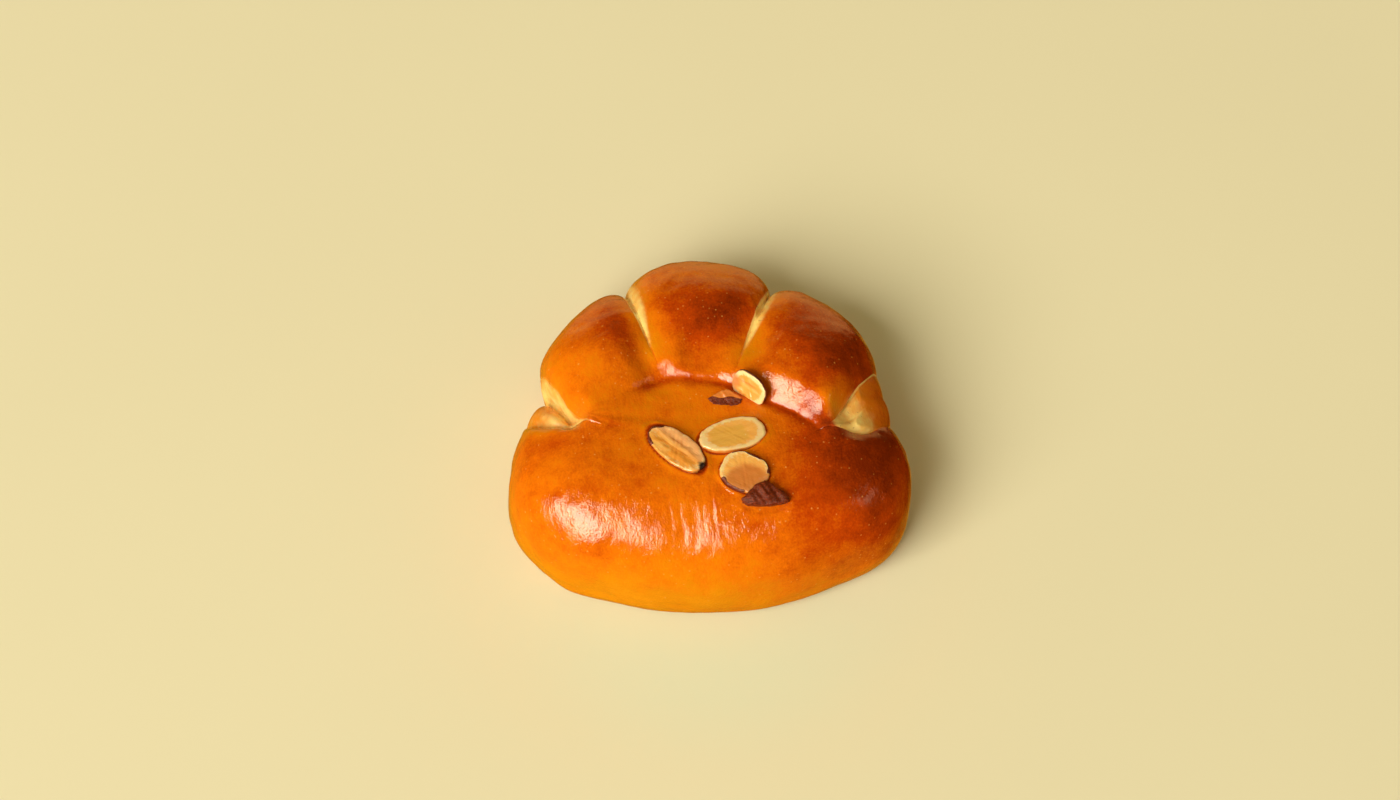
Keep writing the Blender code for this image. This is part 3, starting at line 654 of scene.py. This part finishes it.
def top_surface(shape):
    """Points of the top with their looks, one row of the arrays for each column.

    The height is the crown's, rounded down to the widest height over the shoulder's run, and
    drawn down towards the bottom of each slit along the rounding of its two walls."""
    steps = np.linspace(0, 1, ROWS_TOP)
    share = crowded(steps)[None, :]
    grid = fan_grid(share)
    number, after, in_slit, place, slit, opened, angle, radius, inward, first, last = grid

    x = FAN_X + radius * np.cos(np.radians(angle))
    y = FAN_Y + radius * np.sin(np.radians(angle))
    top = crown(x, y, angle, radius, shape)
    begun = smoothstep(*DROOP_BEGINS, share - slit["start"])
    droop = begun[number] * slit["droop_after"][number] * np.exp(-(first / DROOP_WIDTH) ** 1.5)
    droop = droop + begun[after] * slit["droop_before"][after] * np.exp(-(last / DROOP_WIDTH) ** 1.5)
    droop_in_slit = slit["droop_before"][number] * (1 - place) / 2
    droop_in_slit = droop_in_slit + slit["droop_after"][number] * (1 + place) / 2
    top = top - np.where(in_slit, begun[number] * droop_in_slit, droop)

    facing_front = 0.5 - 0.5 * np.sin(np.radians(angle[:, -1:]))
    widest = WIDEST_HEIGHT_BACK + (WIDEST_HEIGHT_FRONT - WIDEST_HEIGHT_BACK) * facing_front
    power = SHOULDER_POWER_BACK + (SHOULDER_POWER_FRONT - SHOULDER_POWER_BACK) * facing_front
    dough = widest + (top - widest) * arch(inward / SHOULDER, power)

    deep = smoothstep(*DEEP, share - slit["start"])
    sharp = smoothstep(*SHARP, share - slit["start"])

    def bottom_of(k):
        inside = top - (top - slit["bottom"][k]) * deep[k]
        edge = slit["bottom_edge"][k]
        return edge + (inside - edge) * arch(inward / slit["bottom_run"][k])

    def wall(distance, rounding, k):
        soft = smoothstep(0, rounding, distance)
        return soft + (arch(distance / rounding, WALL_POWER) - soft) * sharp[k] * slit["sharpness"][k]

    swell = slit_layers(place, slit, number) * smoothstep(0.05, 0.6, opened[number])
    bottom_first = np.minimum(bottom_of(number) + np.where(in_slit, swell, 0.0), dough)
    bottom_last = np.minimum(bottom_of(after), dough)
    full_first = np.where(in_slit, 0.0, wall(first, slit["round_after"][number], number))
    full_last = np.where(in_slit, 1.0, wall(last, slit["round_before"][after], after))
    z = dough - (dough - bottom_first) * (1 - full_first) - (dough - bottom_last) * (1 - full_last)

    on_top = smoothstep(0.0, 6.0, inward)
    z = z + shape.wrinkle_depth / MM * wrinkles(x, y) * on_top
    z = seat_almonds(x, y, z)
    crust = crust_browning(x, y, z)
    looks = dough_looks(crust, facing_right(x, y), grid, share, full_first, full_last)
    return np.stack([x, y, z], -1), angle[:, -1:], radius[:, -1:], facing_front, looks


def dough_points(shape):
    """All points of the dough, the middle of its top, and the points' looks: rows from the middle
    of the top, down the side, under the base.

    Below its widest height the side turns in by a quarter of a rounded curve to the flat base. Its
    looks start as those of the top's edge and fade into the side's own."""
    top, angle, radius, facing_front, looks = top_surface(shape)
    turn = np.radians(angle)

    tuck = TUCK_BACK + (TUCK_FRONT - TUCK_BACK) * facing_front
    down = np.linspace(0, np.pi / 2, ROWS_SIDE + 1)[None, 1:]
    side_radius = radius - tuck + tuck * np.cos(down) ** 0.8
    side_height = top[:, -1:, 2] * (1 - np.sin(down))
    side = np.stack([side_radius * np.cos(turn), side_radius * np.sin(turn), side_height], -1)

    inward = np.linspace(1, 0, ROWS_BASE + 1)[None, 1:-1]
    base_radius = (radius - tuck) * inward
    base = np.stack([base_radius * np.cos(turn), base_radius * np.sin(turn), 0 * base_radius], -1)

    rings = np.concatenate([side, base], 1) + (FAN_X, FAN_Y, 0.0)
    points = np.concatenate([top[:, 1:], rings], 1)
    edge = looks[:, -1:]
    # sides away from the key light are darker: partly browning, partly painted shade
    low_baked = SIDE_BAKED + SIDE_BAKED_AND_SHADE_RIGHT * facing_right(top[:, -1:, 0], top[:, -1:, 1])
    fade = (1 - np.sin(down)) ** 2
    side_baked = low_baked + 0.10 * np.sin(down) ** 4 + (edge[..., 0] - low_baked) * fade
    side_looks = np.stack([side_baked, edge[..., 1] * fade, edge[..., 2] * fade], -1)
    base_looks = np.stack([BASE_BAKED + 0 * base_radius, 0 * base_radius, 0 * base_radius], -1)
    looks = np.concatenate([looks[:, 1:], side_looks, base_looks], 1)

    x, y, z = points[..., 0], points[..., 1], points[..., 2]
    uneven = waves(x, y, z, 11, 26, 14, seed=4) + 0.5 * waves(x, y, z, 4, 9, 18, seed=9)
    uneven = uneven * shape.unevenness / MM * smoothstep(0.0, 4.0, z)
    points = points + outward(points) * uneven[..., None]
    return points, top[:, 0].mean(0), looks


def outward(points):
    """Unit normal at each point of a closed grid of columns, from its neighbours' differences."""
    around = np.roll(points, -1, 0) - np.roll(points, 1, 0)
    along = np.gradient(points, axis=1)
    normal = np.cross(along, around)
    size = np.linalg.norm(normal, axis=-1, keepdims=True)
    return normal / np.maximum(size, 1e-9)


def closed_mesh(name, rings, first_pole, last_pole, attributes):
    """Mesh of columns of points joined round, with a fan of triangles at each pole. Each attribute
    is a value or a vector for each point of the rings; a pole has the mean of the ring next to it."""
    around, along, _ = rings.shape
    points = np.concatenate([rings.reshape(-1, 3), [first_pole], [last_pole]])
    this = np.arange(around)
    following = (this + 1) % around
    step = np.arange(along - 1)
    a = this[:, None] * along + step
    b = following[:, None] * along + step
    quads = np.stack([a, a + 1, b + 1, b], -1).reshape(-1, 4)
    first = around * along
    top_fan = np.stack([first + 0 * this, this * along, following * along], -1)
    base_fan = np.stack([first + 1 + 0 * this, (following + 1) * along - 1, (this + 1) * along - 1], -1)
    mesh = bpy.data.meshes.new(name)
    mesh.from_pydata((points * MM).tolist(), [], quads.tolist() + top_fan.tolist() + base_fan.tolist())
    for key, values in attributes.items():
        flat = values.reshape(around * along, -1)
        ends = np.stack([values[:, 0].reshape(around, -1).mean(0), values[:, -1].reshape(around, -1).mean(0)])
        flat = np.concatenate([flat, ends]).astype(np.float32)
        kind = "FLOAT" if flat.shape[1] == 1 else "FLOAT_VECTOR"
        layer = mesh.attributes.new(key, kind, "POINT")
        layer.data.foreach_set("value" if kind == "FLOAT" else "vector", flat.ravel())
    mesh.shade_smooth()
    return mesh


def almond_points(name, spec, look):
    """Points of one almond piece, around its outline and from the middle of its face over the rim
    to the middle of its back, with how toasted, skinned and glazed they are.

    The outline is a superellipse with a taper and slight sine waves, whose phase comes from the
    piece's name; the face has lengthwise grooves and lumps, products and sums of sines, and rises
    or sags in the middle by a parabola; the rim is half a circle, stretched."""
    length, width, thickness = spec["size"]
    phase = sum(name.encode()) % 97
    turn = np.linspace(0, 2 * np.pi, ALMOND_SIDES, endpoint=False)[:, None]
    path = np.linspace(0, 1, ALMOND_RINGS + 2)[None, 1:-1]
    power = 2 / np.where(np.sin(turn) > 0, *spec["blunt"])
    along = np.sign(np.cos(turn)) * np.abs(np.cos(turn)) ** power
    across = np.sign(np.sin(turn)) * np.abs(np.sin(turn)) ** power
    across = across * np.where(np.sin(turn) > 0, *spec["sides"]) * (1 + spec["taper"] * along)
    wave = 0.016 * np.sin(3 * turn + phase) + 0.010 * np.sin(7 * turn + 2 * phase)
    wave = 1 + look["ragged"] * (wave + 0.007 * np.sin(13 * turn) + 0.004 * np.sin(23 * turn + phase))
    on_face, on_back = path < FACE_ENDS, path > BACK_STARTS
    over = np.clip((path - FACE_ENDS) / (BACK_STARTS - FACE_ENDS), 0, 1) * np.pi
    spread = np.where(on_face, path / FACE_ENDS, (1 - path) / (1 - BACK_STARTS))
    ring = np.where(on_face | on_back, (1 - ROUNDED) * spread, 1 - ROUNDED + ROUNDED * np.sin(over))
    u = along * wave * ring * length / 2
    v = across * wave * ring * width / 2
    top = np.where(path < 0.5, 1.0, 0.0)
    grooves = np.sin(v * 2.1 + 0.5 * np.sin(u * 0.45 + phase)) * (1 - ring ** 4)
    rough = np.sin(u * 1.7 + phase) * np.cos(v * 2.1 + phase) + 0.5 * np.sin(u * 3.9 + v * 3.1 + phase)
    w = np.cos(over) / 2 * thickness + top * (look["grooves"] * grooves + look["dome"] * (1 - ring ** 2))
    w = w + 0.03 * rough * (1 + look["grooves"] * 12)
    lumps = np.sin(1.3 * u + 0.7 * v) + 0.7 * np.sin(2.1 * v - 0.9 * u + 2.0)
    lumps = lumps + 0.5 * np.sin(2.9 * u + 1.7 * v)
    w = w + look["lumps"] * lumps * top * (1 - ring ** 4)
    looks = almond_looks(u, v, turn, path, top, phase, spec, look)
    return np.stack([u, v, w], -1), looks


def almond_looks(u, v, turn, path, top, phase, spec, look):
    """Where a piece has skin, clefts, a clear core and the rest, each 0..1 for every point.

    Skin covers the back and the edge's arcs; clefts are narrow bells about bent lengthwise lines;
    core and glaze are discs with soft borders."""
    length, width, _ = spec["size"]
    none = 0 * u
    degrees = np.degrees(turn) % 360
    skin = smoothstep(BACK_STARTS - 0.04, BACK_STARTS, path) * 0.8 + none
    for start, end, reach in look["edges"]:
        away = np.abs((degrees - (start + end) / 2 + 180) % 360 - 180)
        in_arc = 1 - smoothstep((end - start) / 2 - 7, (end - start) / 2 + 7, away)
        edge = FACE_ENDS + (BACK_STARTS - FACE_ENDS) * look["rim"]
        from_edge = smoothstep(edge - 0.02, edge + 0.01, path)
        inside = FACE_ENDS - reach
        over_face = smoothstep(inside - 0.03, inside + 0.01, path + 0.02 * np.sin(5 * turn))
        skin = np.maximum(skin, in_arc * (over_face if reach > 0 else from_edge))
    if look["bark"] is not None:
        above = v - look["bark"] - 0.25 * np.sin(1.1 * u)
        skin = np.maximum(skin, top * (1 - smoothstep(-0.25, 0.25, above)))
    burnt = none
    if look["tip"] is not None:
        ending = 2 * u / length + 0.03 * v + 0.06 * np.sin(1.9 * v + 1.0) - look["tip"]
        burnt = smoothstep(-0.04, 0.04, ending)
    cleft = none
    for offset in look["clefts"]:
        bent = v - offset - 0.35 * np.sin(0.45 * u + offset)
        strength = np.clip(1 - (2.3 * u / length) ** 2, 0, 1) * (0.6 + 0.4 * np.sin(0.8 * u + 2 * offset))
        cleft = np.maximum(cleft, strength * np.exp(-(bent / 0.22) ** 2) * top)
    off_middle = np.hypot((u + 1.2) / (0.30 * length), (v + 0.4) / (0.36 * width))
    core = (1 - smoothstep(0.7, 1.25, off_middle + 0.10 * np.sin(4 * turn + phase))) * look["core"]
    glaze = none
    if look["glaze"]:
        away = np.hypot(u - look["glaze"][0], v - look["glaze"][1]) - look["glaze"][2]
        glaze = (1 - smoothstep(-1.6, 0.7, away)) * top
    rim = look["pale"] * smoothstep(0.30, 0.44, path) * (1 - smoothstep(0.50, 0.53, path)) + none
    side = smoothstep(0.475, 0.515, path) + none
    blush = look["blush"] * smoothstep(-0.8, 2.0, v) * top
    return {"skin": skin, "core": core, "cleft": cleft, "glaze": glaze, "rim": rim,
            "toast": look["toast"] + none, "burnt": burnt, "side": side, "blush": blush}


# ---- Materials -------------------------------------------------------------------------------------
class Sock:
    """One output socket of a finish's nodes; arithmetic on it adds Math nodes."""

    def __init__(self, finish, socket):
        self.finish = finish
        self.socket = socket

    def maths(self, operation, first, second):
        """Math node fed with two values or sockets."""
        return self.finish.node("ShaderNodeMath", {"operation": operation}, i0=first, i1=second)

    def __add__(self, other):
        return self.maths("ADD", self, other)

    def __radd__(self, other):
        return self.maths("ADD", other, self)

    def __sub__(self, other):
        return self.maths("SUBTRACT", self, other)

    def __rsub__(self, other):
        return self.maths("SUBTRACT", other, self)

    def __mul__(self, other):
        return self.maths("MULTIPLY", self, other)

    def __rmul__(self, other):
        return self.maths("MULTIPLY", other, self)

    def rise(self, low, high):
        """0 below low, 1 above high, smooth between."""
        return self.finish.node("ShaderNodeMapRange", {"interpolation_type": "SMOOTHSTEP"},
                                output="Result", Value=self, From_Min=low, From_Max=high)


class Finish:
    """A material in the making: its nodes, its Principled shader and short ways to add to them."""

    def __init__(self, name):
        self.material = bpy.data.materials.new(name)
        self.material.use_nodes = True
        self.tree = self.material.node_tree
        self.shader = self.tree.nodes["Principled BSDF"]

    def node(self, kind, settings=None, output=0, **values):
        """New node with its settings, then its sockets' values or links, by name or, as in i0, by
        number; gives one output."""
        made = self.tree.nodes.new(kind)
        for key, value in (settings or {}).items():
            if key == "stops":
                self.set_stops(made.color_ramp, value)
            else:
                setattr(made, key, value)
        for key, value in values.items():
            by_number = key[0] == "i" and key[1:].isdigit()
            self.feed(made.inputs[int(key[1:]) if by_number else key.replace("_", " ")], value)
        return Sock(self, made.outputs[output])

    def set_stops(self, ramp, stops):
        """Places and colours of a ramp's stops."""
        while len(ramp.elements) < len(stops):
            ramp.elements.new(0.5)
        for element, (place, colour) in zip(ramp.elements, stops):
            element.position = place
            element.color = (*colour, 1.0)

    def feed(self, slot, value):
        """Value of a socket, or a link to it."""
        if isinstance(value, Sock):
            self.tree.links.new(value.socket, slot)
        elif hasattr(value, "__len__") and slot.type == "RGBA" and len(value) == 3:
            slot.default_value = (*value, 1.0)
        else:
            slot.default_value = value

    def set(self, **values):
        """Values or links of the Principled shader's own sockets."""
        for key, value in values.items():
            self.feed(self.shader.inputs[key.replace("_", " ")], value)

    def place(self):
        """Place on the object, in metres."""
        return self.node("ShaderNodeTexCoord", output="Object")

    def attribute(self, name, output="Fac"):
        """What the mesh says of each of its points under a name."""
        return self.node("ShaderNodeAttribute", {"attribute_name": name}, output=output)

    def noise(self, scale, detail=2.0, roughness=0.5, where=None):
        """Cloudy noise about 0.5; scale is in waves per metre, or per unit of the place given."""
        return self.node("ShaderNodeTexNoise", Vector=where or self.place(), Scale=scale,
                         Detail=detail, Roughness=roughness)

    def mix(self, share, first, second):
        """Colour between two, by a share."""
        return self.node("ShaderNodeMix", {"data_type": "RGBA"}, output=2, i0=share, i6=first, i7=second)

    def bump(self, height, distance, before=None):
        """Normal turned by a height of 0..1 times distance in metres."""
        values = {"Height": height, "Distance": distance, "Strength": 1.0}
        if before is not None:
            values["Normal"] = before
        return self.node("ShaderNodeBump", **values)


def scaled(colour, factors):
    """Colour with each part multiplied by its own factor."""
    return tuple(part * factor for part, factor in zip(colour, factors))


def crust_finish(colours):
    """Egg-washed crust: a ramp of baked colours by how baked it is, cloudy and finely speckled,
    bare dough with a few brown crumbs in the slits, light specks, and an orange-peel gloss."""
    made = Finish("crust")
    baked = made.attribute("baked")
    bare = made.attribute("bare")

    clouds = made.noise(75, 3.0, 0.55)
    blotches = made.noise(150, 2.0, 0.5)
    grain = made.noise(420, 3.0, 0.6)
    fine = made.noise(1500, 2.0, 0.5)
    level = baked + (clouds - 0.5) * 0.30 + (blotches - 0.5) * 0.22
    level = level + (grain - 0.5) * 0.20 + (fine - 0.5) * 0.26
    ramp = made.node("ShaderNodeValToRGB", {"stops": [
        (0.00, scaled(colours.gold, (1.12, 1.20, 2.5))),
        (0.20, tuple(colours.gold)),
        (0.50, tuple(colours.amber)),
        (0.75, tuple(colours.chestnut)),
        (1.00, tuple(colours.umber)),
    ]}, output="Color", Fac=level)

    dough = made.mix(made.noise(300, 2.0).rise(0.35, 0.7), tuple(colours.dough),
                     scaled(colours.dough, (0.97, 0.72, 0.45)))
    edge = (bare + (grain - 0.5) * 0.5 + (clouds - 0.5) * 0.3).rise(0.25, 0.8)
    colour = made.mix(edge, ramp, dough)
    crumbs = made.noise(800, 2.0, 0.6).rise(0.66, 0.72) * edge
    colour = made.mix(crumbs * 0.6, colour, CRUMB_COLOUR)

    cell = {"Vector": made.place(), "Scale": SPECK_CELLS}
    cells = made.node("ShaderNodeTexVoronoi", output="Distance", **cell)
    chance = made.node("ShaderNodeTexVoronoi", output="Color", **cell)
    chosen = made.node("ShaderNodeSeparateColor", output="Red", Color=chance).rise(0.50, 0.82)
    specks = (1 - (cells + (fine - 0.5) * 0.15).rise(0.06, 0.20)) * chosen * 0.48
    colour = made.mix(specks, colour, SPECK_COLOUR)

    drawn = made.node("ShaderNodeMapping", Vector=made.place(), Scale=(1.0, 0.42, 0.7),
                      Rotation=(0.0, 0.0, math.radians(52)))
    dents = made.bump(made.noise(820, 2.0, 0.6, where=drawn), 0.00015)
    dents = made.bump(made.noise(1700, 2.0, 0.6), 0.00009, dents)
    rough = 0.07 + bare * 0.46 + made.attribute("matt") * 0.3 + (grain - 0.5) * 0.06
    made.set(Base_Color=colour, Roughness=rough, Normal=dents, IOR=1.55, Subsurface_Weight=0.08,
             Subsurface_Scale=0.003, Subsurface_Radius=(1.0, 0.35, 0.10))
    return made.material


def almond_finish(name, colours, gloss):
    """Cut almond: pale flesh with toasted streaks along its length, a clearer core inside a pale
    rim, brown skin at the edge, and a patch of amber glaze where a piece has one. Gloss is the
    refraction of its surface: the lower, the duller."""
    made = Finish(name)
    grain = made.attribute("grain", "Vector")
    stretched = made.node("ShaderNodeVectorMath", {"operation": "MULTIPLY"}, i0=grain, i1=(0.16, 0.62, 0.62))
    streaks = made.noise(1.0, 3.0, 0.55, where=stretched)
    fine = made.noise(3.2, 3.0, 0.6, where=stretched)
    clouds = made.noise(0.35, 2.0, 0.5, where=grain)
    rim = made.attribute("rim")

    spots = made.noise(1.3, 3.0, 0.6, where=grain)
    toast = (streaks * 0.75 + clouds * 0.35).rise(0.36, 0.62) * made.attribute("toast") * (1 - rim * 0.5)
    flesh = made.mix(fine.rise(0.35, 0.75) * 0.5, tuple(colours.flesh),
                     scaled(colours.flesh, (0.96, 0.78, 0.50)))
    blush = made.attribute("blush")
    flesh = made.mix(blush * 0.85, flesh, BLUSH_COLOUR)
    colour = made.mix(toast * (1 - blush * 0.7) * 0.8, flesh, tuple(colours.toasted))
    colour = made.mix(made.attribute("cleft"), colour, scaled(colours.toasted, (0.70, 0.50, 0.5)))
    clear = (made.attribute("core") + (clouds - 0.5) * 0.5).rise(0.05, 0.95)
    colour = made.mix(clear * 0.8, colour, scaled(colours.flesh, (0.82, 0.80, 0.50)))
    pale = (rim + (clouds - 0.5) * 1.6 + (spots - 0.5) * 1.6).rise(0.40, 0.95)
    colour = made.mix(pale * 0.75, colour, PALE_RIM_COLOUR)
    colour = made.mix(made.attribute("side") * 0.75, colour, EDGE_COLOUR)
    glaze = made.attribute("glaze")
    colour = made.mix(glaze * 0.85, colour, GLAZE_COLOUR)
    crumbs = made.noise(2.6, 4.0, 0.65, where=grain)
    bark = made.mix(crumbs.rise(0.36, 0.85), tuple(colours.skin), scaled(colours.skin, (3.6, 4.2, 3.6)))
    skin = (made.attribute("skin") + (fine - 0.5) * 0.35).rise(0.35, 0.6)
    colour = made.mix(skin, colour, bark)
    colour = made.mix(made.attribute("burnt"), colour, BURNT_COLOUR)
    relief = made.bump(streaks, 0.00010)
    relief = made.bump(fine, 0.00005, relief)
    relief = made.bump(crumbs * skin, 0.00025, relief)
    rough = 0.20 - glaze * 0.06 + skin * 0.22 + (spots - 0.5) * 0.25
    made.set(Base_Color=colour, Roughness=rough, Normal=relief, IOR=gloss, Subsurface_Weight=0.4,
             Subsurface_Scale=0.0015, Subsurface_Radius=(1.0, 0.6, 0.3))
    return made.material


def floor_finish(colour):
    """Matt paper with a faint unevenness, and a cooler tint painted just in front of the bun to cancel the
    orange light bounced from it.
    """
    made = Finish("floor")
    tint = made.mix(made.noise(6.0, 2.0).rise(0.3, 0.7), tuple(colour), scaled(colour, (0.985, 0.985, 0.985)))
    away = made.node("ShaderNodeVectorMath", {"operation": "DISTANCE"}, output="Value", i0=made.place(),
                     i1=BOUNCE_CANCEL_MIDDLE)
    # painted correction: cooler tint in front of the bun that cancels the orange light bounced from it
    tint = made.mix((1 - away.rise(0.035, 0.075)) * 0.8, tint, scaled(colour, (0.87, 1.02, 1.08)))
    made.set(Base_Color=tint, Roughness=0.9, IOR=1.3)
    return made.material


# ---- Operators ---------------------------------------------------------------------------------------
def fan_to_row():
    """Shift from the fan's axes to the row's, in millimetres, so that the outline is centred."""
    low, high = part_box("bun")
    points = dough_points(bpy.context.scene.bun_shape)[0]
    middle = (points.reshape(-1, 3).max(0) + points.reshape(-1, 3).min(0)) / 2
    cad_middle = (np.array(low) + np.array(high)) / 2 / MM
    return np.array([cad_middle[0] - middle[0], cad_middle[1] - middle[1], 0.0])


def add_piece(name, mesh, material, node):
    """Object of a finished mesh at the origin, standing for a CAD node."""
    mesh.materials.append(material)
    piece = bpy.data.objects.new(name, mesh)
    bpy.context.scene.collection.objects.link(piece)
    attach(piece, BODY)
    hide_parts(node)
    return piece


class BUN_OT_dough(bpy.types.Operator):
    """Build the glazed dough"""
    bl_idname = "bun.dough"
    bl_label = "Dough"

    def execute(self, context):
        shift = fan_to_row()
        points, top_middle, looks = dough_points(context.scene.bun_shape)
        base_middle = np.array([FAN_X, FAN_Y, 0.0])
        mesh = closed_mesh("glazed_dough", points + shift, top_middle + shift, base_middle + shift,
                           {"baked": looks[..., 0], "bare": looks[..., 1], "matt": looks[..., 2]})
        add_piece("glazed_dough", mesh, crust_finish(context.scene.bun_colours), "bun")
        return {"FINISHED"}


class BUN_OT_almonds(bpy.types.Operator):
    """Build the sliced almond"""
    bl_idname = "bun.almonds"
    bl_label = "Almonds"

    def execute(self, context):
        shift = fan_to_row()
        flesh = almond_finish("almond", context.scene.almond_colours, FLESH_GLOSS)
        skin = almond_finish("almond_skin", context.scene.almond_colours, SKIN_GLOSS)
        for name, spec in ALMONDS.items():
            local, looks = almond_points(name, spec, ALMOND_LOOKS[name])
            turned = almond_frame(spec)
            centre = np.array(spec["centre"]) + shift
            poles = np.stack([local[:, 0].mean(0), local[:, -1].mean(0)])
            mesh = closed_mesh(name + "_look", local @ turned + centre, poles[0] @ turned + centre,
                               poles[1] @ turned + centre, {"grain": local} | looks)
            finish = skin if name in DULL else flesh
            add_piece(name + "_look", mesh, finish, name)
        return {"FINISHED"}


class BUN_OT_stage(bpy.types.Operator):
    """Build the floor, the lights and the camera"""
    bl_idname = "bun.stage"
    bl_label = "Stage"

    def execute(self, context):
        settings = context.scene.bun_stage
        half = FLOOR_SIZE / 2
        mesh = bpy.data.meshes.new("floor")
        mesh.from_pydata([(-half, -half, 0), (half, -half, 0), (half, half, 0), (-half, half, 0)],
                         [], [(0, 1, 2, 3)])
        mesh.materials.append(floor_finish(settings.floor_colour))
        floor = bpy.data.objects.new("floor", mesh)
        context.scene.collection.objects.link(floor)
        floor.visible_glossy = False
        floor.visible_shadow = False

        key = add_light("key", (settings.key_bearing, settings.key_height, 0.0), (KEY_SIZE, KEY_SIZE),
                        settings.key_power, KEY_COLOUR, KEY_DISTANCE)
        key.visible_glossy = False
        for name, degrees, size, power, colour in REFLECTED:
            turns = tuple(math.radians(turn) for turn in degrees)
            sheen = add_light(name, turns, size, power, colour, SHEEN_DISTANCE)
            sheen.visible_diffuse = False

        world = bpy.data.worlds.new("surroundings")
        world.use_nodes = True
        sky = world.node_tree.nodes["Background"]
        sky.inputs["Color"].default_value = (*SKY_COLOUR, 1.0)
        sky.inputs["Strength"].default_value = settings.sky
        world.cycles_visibility.glossy = False
        context.scene.world = world
        context.scene.view_settings.view_transform = "Standard"

        shift = fan_to_row() * MM
        height = math.radians(CAMERA_HEIGHT_ANGLE)
        back = Vector((0.0, -math.cos(height), math.sin(height)))
        lens = bpy.data.cameras.new("camera")
        lens.lens = CAMERA_LENS
        lens.sensor_width = CAMERA_SENSOR
        camera = bpy.data.objects.new("camera", lens)
        context.scene.collection.objects.link(camera)
        camera.location = Vector(CAMERA_TARGET) + Vector(shift.tolist()) + back * CAMERA_DISTANCE
        camera.rotation_euler = back.to_track_quat("Z", "Y").to_euler()
        context.scene.camera = camera
        return {"FINISHED"}


def add_light(name, turns, size, power, colour, distance):
    """Soft box that faces the bun, from a bearing clockwise of the front and a height, rolled
    about its own middle."""
    bearing, height, roll = turns
    light = bpy.data.lights.new(name, "AREA")
    light.shape = "RECTANGLE"
    light.size, light.size_y = size
    light.energy = power
    light.color = colour
    towards = Vector((-math.sin(bearing) * math.cos(height), -math.cos(bearing) * math.cos(height),
                      math.sin(height)))
    lamp = bpy.data.objects.new(name, light)
    bpy.context.scene.collection.objects.link(lamp)
    lamp.location = towards * distance
    lamp.rotation_euler = (towards.to_track_quat("Z", "Y") @ Quaternion((0, 0, 1), roll)).to_euler()
    return lamp


class BUN_PT_panel(bpy.types.Panel):
    """Lists the bun's builders and settings"""
    bl_label = "Custard Bun"
    bl_idname = "BUN_PT_panel"
    bl_space_type = "VIEW_3D"
    bl_region_type = "UI"
    bl_category = "Bun"

    def draw(self, context):
        for group in (context.scene.bun_shape, context.scene.bun_colours,
                      context.scene.almond_colours, context.scene.bun_stage):
            box = self.layout.box()
            for key in group.__annotations__:
                box.prop(group, key)
        for operator in (BUN_OT_dough, BUN_OT_almonds, BUN_OT_stage):
            self.layout.operator(operator.bl_idname)


CLASSES = (BunShape, BunColours, AlmondColours, StageSettings,
           BUN_OT_dough, BUN_OT_almonds, BUN_OT_stage, BUN_PT_panel)


def register():
    for kind in CLASSES:
        bpy.utils.register_class(kind)
    bpy.types.Scene.bun_shape = PointerProperty(type=BunShape)
    bpy.types.Scene.bun_colours = PointerProperty(type=BunColours)
    bpy.types.Scene.almond_colours = PointerProperty(type=AlmondColours)
    bpy.types.Scene.bun_stage = PointerProperty(type=StageSettings)


def unregister():
    for key in ("bun_stage", "almond_colours", "bun_colours", "bun_shape"):
        delattr(bpy.types.Scene, key)
    for kind in reversed(CLASSES):
        bpy.utils.unregister_class(kind)


def main():
    register()
    bpy.ops.bun.dough()
    bpy.ops.bun.almonds()
    bpy.ops.bun.stage()


if __name__ == "__main__":
    main()
